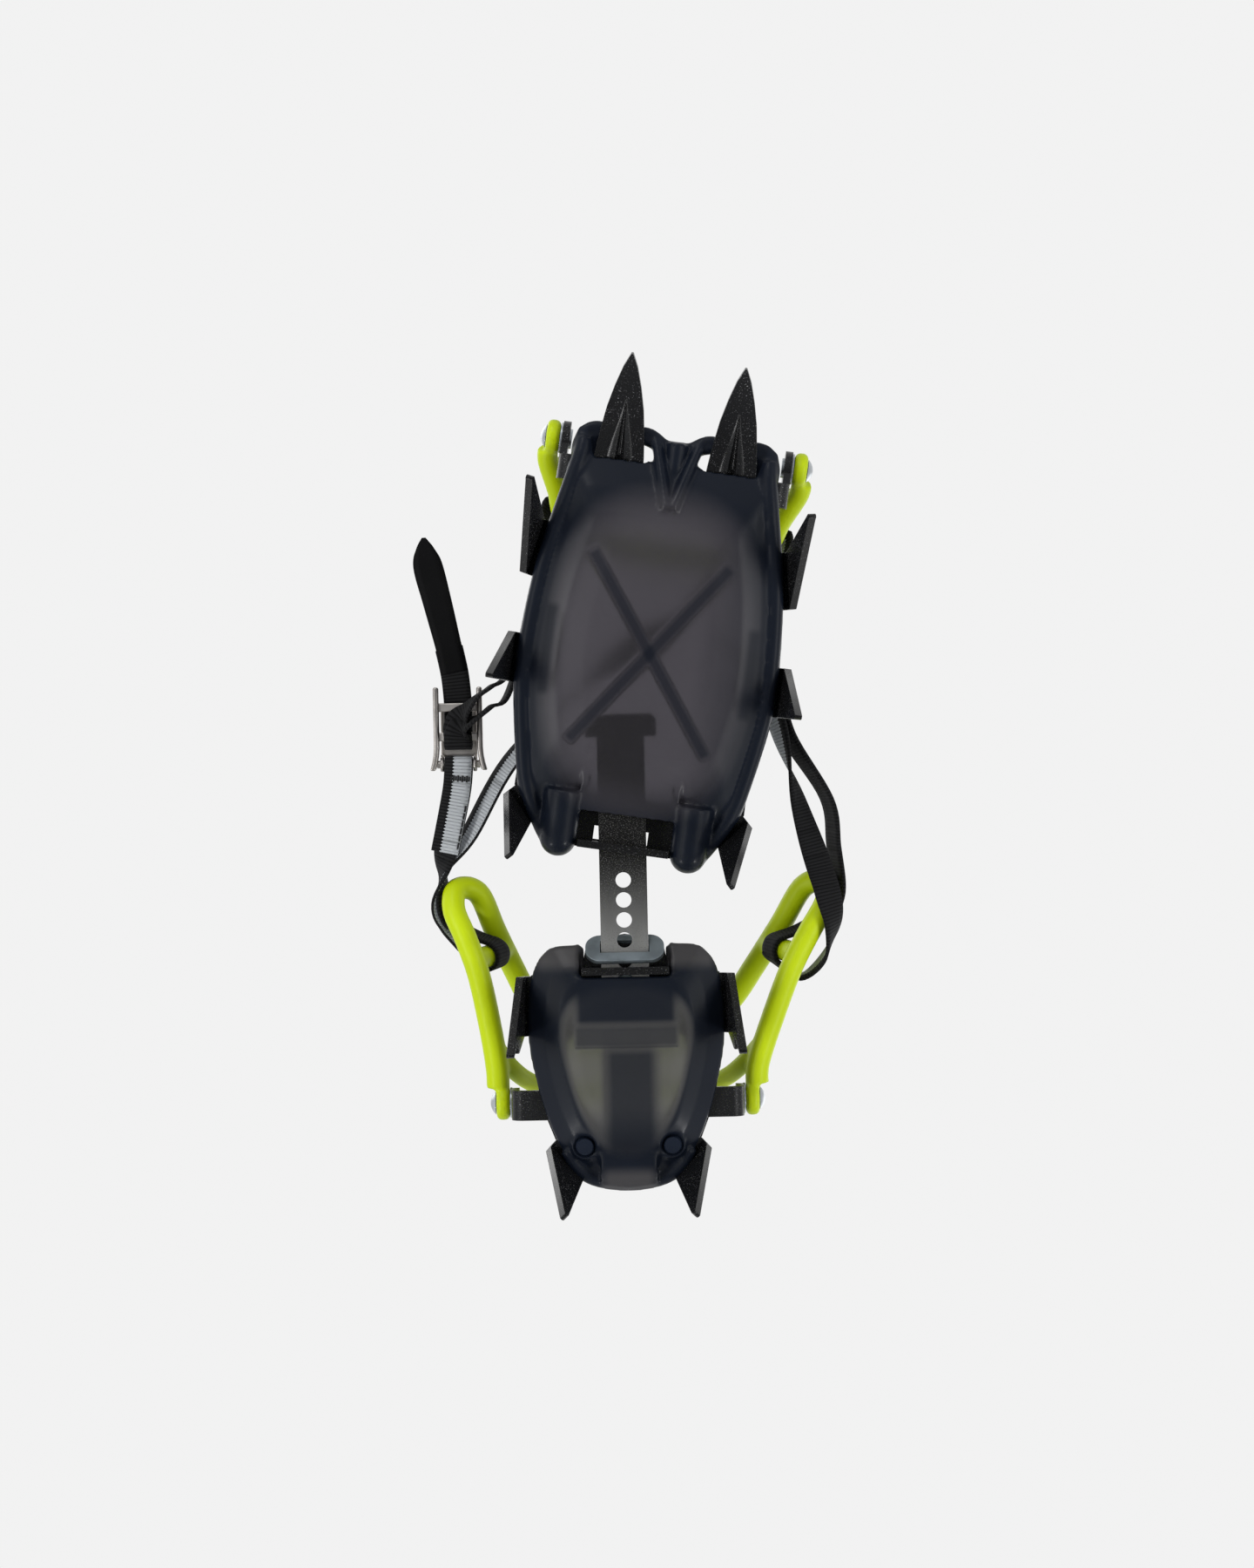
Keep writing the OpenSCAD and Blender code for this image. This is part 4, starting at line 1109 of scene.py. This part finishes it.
# Stitches: places along the strap, and shares of its width aside
THREAD = 0.75 * MM
STITCH = 2.6 * MM
STITCH_STEP = 3.1 * MM
TACK_AT = 31 * MM
TACK_ROWS = 9
TACK_FROM = -0.4
TACK_ACROSS = 0.62
TACK_LEADS = (0.35, 0.5)
SEAM_FROM = 2.5 * MM
SEAM_TO = 19 * MM
SEAM_ASIDE = -0.42


def on_face(run, distance, aside):
    """A place on the face of a run's webbing, at a distance along it and a share of its width aside."""
    place, side, up, there = min(run, key=lambda station: abs(station[3] - distance))
    ahead = side.cross(up)
    on_middle = place + ahead * (distance - there) + side * aside * sizes().strap_width
    return on_middle + up * sizes().strap_thick / 2


def sew(run, material):
    """A bar tack across the sewn end of the strap and a seam along its edge."""
    stitches = []
    for i in range(TACK_ROWS):
        aside = TACK_FROM + TACK_ACROSS * i / (TACK_ROWS - 1)
        lead = STITCH * TACK_LEADS[i % 2]
        stitches.append([on_face(run, TACK_AT + lead * k, aside) for k in (-1, 0, 1)])
    distance = SEAM_FROM
    while distance < SEAM_TO:
        stitches.append([on_face(run, distance + STITCH * k, SEAM_ASIDE) for k in (0, 0.5, 1)])
        distance += STITCH_STEP
    for zone in sorted({zone_of(stitch[1].y) for stitch in stitches}):
        shape = bmesh.new()
        for stitch in stitches:
            if zone_of(stitch[1].y) == zone:
                add_bar(shape, stitch, THREAD)
        piece = piece_from(f"strap_stitches_{zone}", shape, material)
        follow(piece, zone)


class CRAMPON_OT_strap(bpy.types.Operator):
    """Ribbed webbing along its route, with its sealed end"""

    bl_idname = "crampon.strap"
    bl_label = "Strap"

    def execute(self, context):
        strap = stations(main_run())
        lay_strap("strap_main_web", strap, webbing("webbing", pale_faces=True), "strap_main")
        black = webbing("webbing_black", pale_faces=False)
        lay_strap("strap_loop_web", stations(loop_run()), black, "strap_loop")
        sew(strap, thread())
        self.make_tip()
        return {"FINISHED"}

    def make_tip(self):
        tip = stations([(place, FLAT) for place in TIP_PLACES])
        halves = through(TIP_HALVES, RUN_STEPS)
        shape = bmesh.new()
        add_web(shape, tip, times(halves, MM), TIP_THICK)
        piece = piece_from("strap_tip_end", shape, strap_end())
        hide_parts("strap_tip")
        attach(piece, "front_section")


# The buckle in its own millimetres: rails that flare at their rear, cross bars and the tilting plate
RAIL_IN = 7.75
RAIL_WIDE = 2.3
RAIL_ENDS = (-17.1, 17.0)
RAIL_HIGH = (-2.4, 2.2)
RAIL_EASE = 0.8
FLARE_FROM = -7.0
FLARE = 1.7
CROSS_BARS = ((-5.0, -1.5), (7.0, 10.5))
BAR_REACH = RAIL_IN + 0.8
PIN_REACH = RAIL_IN + 1
PLATE_EASE = 0.5
CAM_HALF = 7.45
CAM_PLATE = (-11.4, 10.5)
CAM_LEVEL = (5.0, 6.2)
ARM_LOW = 1.8
ARM_LAP = 1
ARM_EASE = 0.4
KNUCKLE = 3.0
KNUCKLE_WIDE = 1.5
KNUCKLE_EASE = 0.3
LONG_EDGE = 20 * MM
LONG_CUTS = 10
SHARP_TURN = 1.0


def add_block(shape, low, high, ease):
    """A block with eased edges, from two corners in the buckle's own millimetres."""
    low, high = Vector(low), Vector(high)
    size = (high - low) * MM
    placed = Matrix.Translation((BUCKLE + (low + high) / 2) * MM) @ Matrix.Diagonal((*size, 1))
    made = set(bmesh.ops.create_cube(shape, size=1.0, matrix=placed)["verts"])
    long_edges = [edge for edge in shape.edges if made.issuperset(edge.verts)
                  and abs((edge.verts[0].co - edge.verts[1].co).y) > LONG_EDGE]
    if long_edges:
        bmesh.ops.subdivide_edges(shape, edges=long_edges, cuts=LONG_CUTS, use_grid_fill=True)
    sharp = [edge for edge in edges_of(shape, placed) if edge.calc_face_angle(0) > SHARP_TURN]
    bmesh.ops.bevel(shape, geom=sharp, offset=ease * MM, segments=3, profile=0.5, affect="EDGES", material=-1)


def edges_of(shape, placed):
    """Edges of the unit block that was placed by a matrix."""
    back = placed.inverted()
    reach = 0.5001

    def inside(vert):
        return max(abs(part) for part in back @ vert.co) < reach

    return [edge for edge in shape.edges if all(inside(vert) for vert in edge.verts)]


class CRAMPON_OT_buckle(bpy.types.Operator):
    """Pressed buckle with flared rails, and its tilting plate"""

    bl_idname = "crampon.buckle"
    bl_label = "Buckle"

    def execute(self, context):
        material = plated_steel("buckle_steel", colours().buckle, roughness=0.3, stretch=(0.15, 1, 1))
        self.place("pressed_buckle_frame", self.frame_shape(), material, "buckle_frame")
        self.place("pressed_buckle_plate", self.plate_shape(), material, "buckle_cam")
        return {"FINISHED"}

    def frame_shape(self):
        shape = bmesh.new()
        for side in (-1, 1):
            low, high = sorted((side * RAIL_IN, side * (RAIL_IN + RAIL_WIDE)))
            add_block(shape, (low, RAIL_ENDS[0], RAIL_HIGH[0]), (high, RAIL_ENDS[1], RAIL_HIGH[1]), RAIL_EASE)
        for vert in shape.verts:
            own = vert.co / MM - BUCKLE
            past = max(FLARE_FROM - own.y, 0) / (FLARE_FROM - RAIL_ENDS[0])
            vert.co.x += math.copysign(FLARE * past ** 2 * MM, own.x)
        level = BUCKLE_THICK / 2
        for rear, ahead in CROSS_BARS:
            add_block(shape, (-BAR_REACH, rear, -level), (BAR_REACH, ahead, level), PLATE_EASE)
        reach = Vector((PIN_REACH, 0, 0))
        add_bar(shape, [(PIN - reach) * MM, PIN * MM, (PIN + reach) * MM], 2 * PIN_RADIUS * MM)
        return shape

    def plate_shape(self):
        shape = bmesh.new()
        rear, ahead = CAM_PLATE
        low, high = CAM_LEVEL
        add_block(shape, (-CAM_HALF, rear, low), (CAM_HALF, ahead, high), PLATE_EASE)
        inner = CAM_HALF - KNUCKLE_WIDE
        for side in (-1, 1):
            left, right = sorted((side * inner, side * CAM_HALF))
            add_block(shape, (left, PIN_Y - ARM_LAP, ARM_LOW), (right, rear + ARM_LAP, high), ARM_EASE)
            placed = along_x(Vector((side, 0, 0)), PIN * MM)
            add_ring(shape, placed, PIN_RADIUS * MM + PIN_CLEAR, KNUCKLE * MM, inner * MM, CAM_HALF * MM,
                     KNUCKLE_EASE * MM)
        return shape

    def place(self, name, shape, material, node):
        piece = piece_from(name, shape, material)
        split = piece.modifiers.new("crease", "EDGE_SPLIT")
        split.split_angle = math.radians(50)
        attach(piece, PARENT_OF[node])
        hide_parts(node)


# Studio

PIXELS_PER_METRE = 2850.0
VIEW_DISTANCE = 1.3
VIEW_LEVEL = 0.04
VIEW_ROLL = math.radians(1.2)
IMAGE_HIGH = 1800
SKY_TINT = (0.9, 0.93, 1.0)
SKY_POWER = 0.42
FLOOR_HALF = 4.0
FLOOR_DROP = 0.2 * MM
# Lamps that face the middle: name, place, power and the two sizes of their face
LAMPS = (
    ("below_left", (0.8, 0.05, -0.72), 5.4, (0.9, 0.2)),
    ("below_right", (-0.8, 0.0, -0.68), 4.4, (0.9, 0.2)),
    ("below_toe", (0.25, 0.9, -0.6), 2.4, (0.3, 0.3)),
    ("heel_left", (0.72, -0.68, -0.5), 2.2, (0.12, 0.12)),
    ("heel_right", (-0.72, -0.68, -0.5), 2.2, (0.12, 0.12)),
    ("above_left", (0.8, 0.5, 1.0), 4.0, (1.0, 1.0)),
    ("above_right", (-0.8, -0.5, 1.0), 3.2, (1.0, 1.0)),
)


class CRAMPON_OT_stage(bpy.types.Operator):
    """Floor, backdrop, lamps and the photograph's camera"""

    bl_idname = "crampon.stage"
    bl_label = "Studio"

    def execute(self, context):
        self.backdrop(context.scene)
        self.floor()
        for name, place, power, size in LAMPS:
            self.lamp(name, Vector(place), power, size)
        self.camera(context.scene)
        context.scene.view_settings.view_transform = "Standard"
        return {"FINISHED"}

    def backdrop(self, scene):
        """A pale world for what is seen or mirrored, and a dimmer sky that lights the object."""
        scene.world = bpy.data.worlds.new("studio")
        scene.world.use_nodes = True
        made = Nodes(scene.world.node_tree)
        rays = made.add("ShaderNodeLightPath").outputs
        shown = rays["Is Camera Ray"]
        for kind in ("Is Glossy Ray", "Is Transmission Ray"):
            shown = made.math("MAXIMUM", shown, rays[kind])
        sky = made.add("ShaderNodeBackground", {"Color": SKY_TINT, "Strength": SKY_POWER}).outputs[0]
        pale = made.add("ShaderNodeBackground", {"Color": colours().backdrop}).outputs[0]
        mix = made.add("ShaderNodeMixShader", {0: shown, 1: sky, 2: pale}).outputs[0]
        made.feed(made.tree.nodes["World Output"], {"Surface": mix})

    def floor(self):
        """A pale floor that is clear from below, where the photograph looks from."""
        shape = bmesh.new()
        lowered = Matrix.Translation((0, 0, -FLOOR_DROP))
        bmesh.ops.create_grid(shape, x_segments=1, y_segments=1, size=FLOOR_HALF, matrix=lowered)
        made = Finish("pale_floor")
        made.surface(Base_Color=colours().backdrop, Roughness=0.9, Specular_IOR_Level=0.1)
        shadow = made.add("ShaderNodeLightPath").outputs["Is Shadow Ray"]
        under = made.add("ShaderNodeNewGeometry").outputs["Backfacing"]
        clear = made.math("MAXIMUM", under, shadow)
        gone = made.add("ShaderNodeBsdfTransparent").outputs[0]
        mix = made.add("ShaderNodeMixShader", {0: clear, 1: made.shader.outputs[0], 2: gone}).outputs[0]
        made.feed(made.tree.nodes["Material Output"], {"Surface": mix})
        object_from("floor", shape, made.material)

    def lamp(self, name, place, power, size):
        data = bpy.data.lights.new(name, "AREA")
        data.energy = power
        data.shape = "RECTANGLE"
        data.size, data.size_y = size
        lamp = bpy.data.objects.new(name, data)
        lamp.location = place
        lamp.rotation_euler = (-place).to_track_quat("-Z", "Y").to_euler()
        bpy.context.scene.collection.objects.link(lamp)

    def camera(self, scene):
        data = bpy.data.cameras.new("photograph")
        data.lens = data.sensor_width * VIEW_DISTANCE * PIXELS_PER_METRE / IMAGE_HIGH
        data.clip_start = 0.01
        camera = bpy.data.objects.new("photograph", data)
        right = Vector((-math.cos(VIEW_ROLL), -math.sin(VIEW_ROLL), 0))
        up = Vector((-math.sin(VIEW_ROLL), math.cos(VIEW_ROLL), 0))
        turn = Matrix((right, up, right.cross(up))).transposed().to_4x4()
        camera.matrix_world = Matrix.Translation((0, 0, VIEW_LEVEL - VIEW_DISTANCE)) @ turn
        scene.collection.objects.link(camera)
        scene.camera = camera


OPERATORS = (
    CRAMPON_OT_steel, CRAMPON_OT_plates, CRAMPON_OT_fittings, CRAMPON_OT_bails, CRAMPON_OT_strap,
    CRAMPON_OT_buckle, CRAMPON_OT_stage,
)


class CRAMPON_PT_panel(bpy.types.Panel):
    """Lists the steps that dress the crampon"""

    bl_idname = "CRAMPON_PT_panel"
    bl_label = "Crampon"
    bl_space_type = "VIEW_3D"
    bl_region_type = "UI"
    bl_category = "Crampon"

    def draw(self, context):
        for operator in OPERATORS:
            self.layout.operator(operator.bl_idname)
        for group in (context.scene.crampon_colours, context.scene.crampon_sizes):
            for name in group.bl_rna.properties.keys():
                if name not in ("rna_type", "name"):
                    self.layout.prop(group, name)


CLASSES = (CramponColours, CramponSizes, *OPERATORS, CRAMPON_PT_panel)


def register():
    for made in CLASSES:
        bpy.utils.register_class(made)
    bpy.types.Scene.crampon_colours = PointerProperty(type=CramponColours)
    bpy.types.Scene.crampon_sizes = PointerProperty(type=CramponSizes)


def unregister():
    del bpy.types.Scene.crampon_sizes
    del bpy.types.Scene.crampon_colours
    for made in reversed(CLASSES):
        bpy.utils.unregister_class(made)


def main():
    register()
    bpy.ops.crampon.stage()
    bpy.ops.crampon.steel()
    bpy.ops.crampon.plates()
    bpy.ops.crampon.fittings()
    bpy.ops.crampon.bails()
    bpy.ops.crampon.strap()
    bpy.ops.crampon.buckle()


if __name__ == "__main__":
    main()
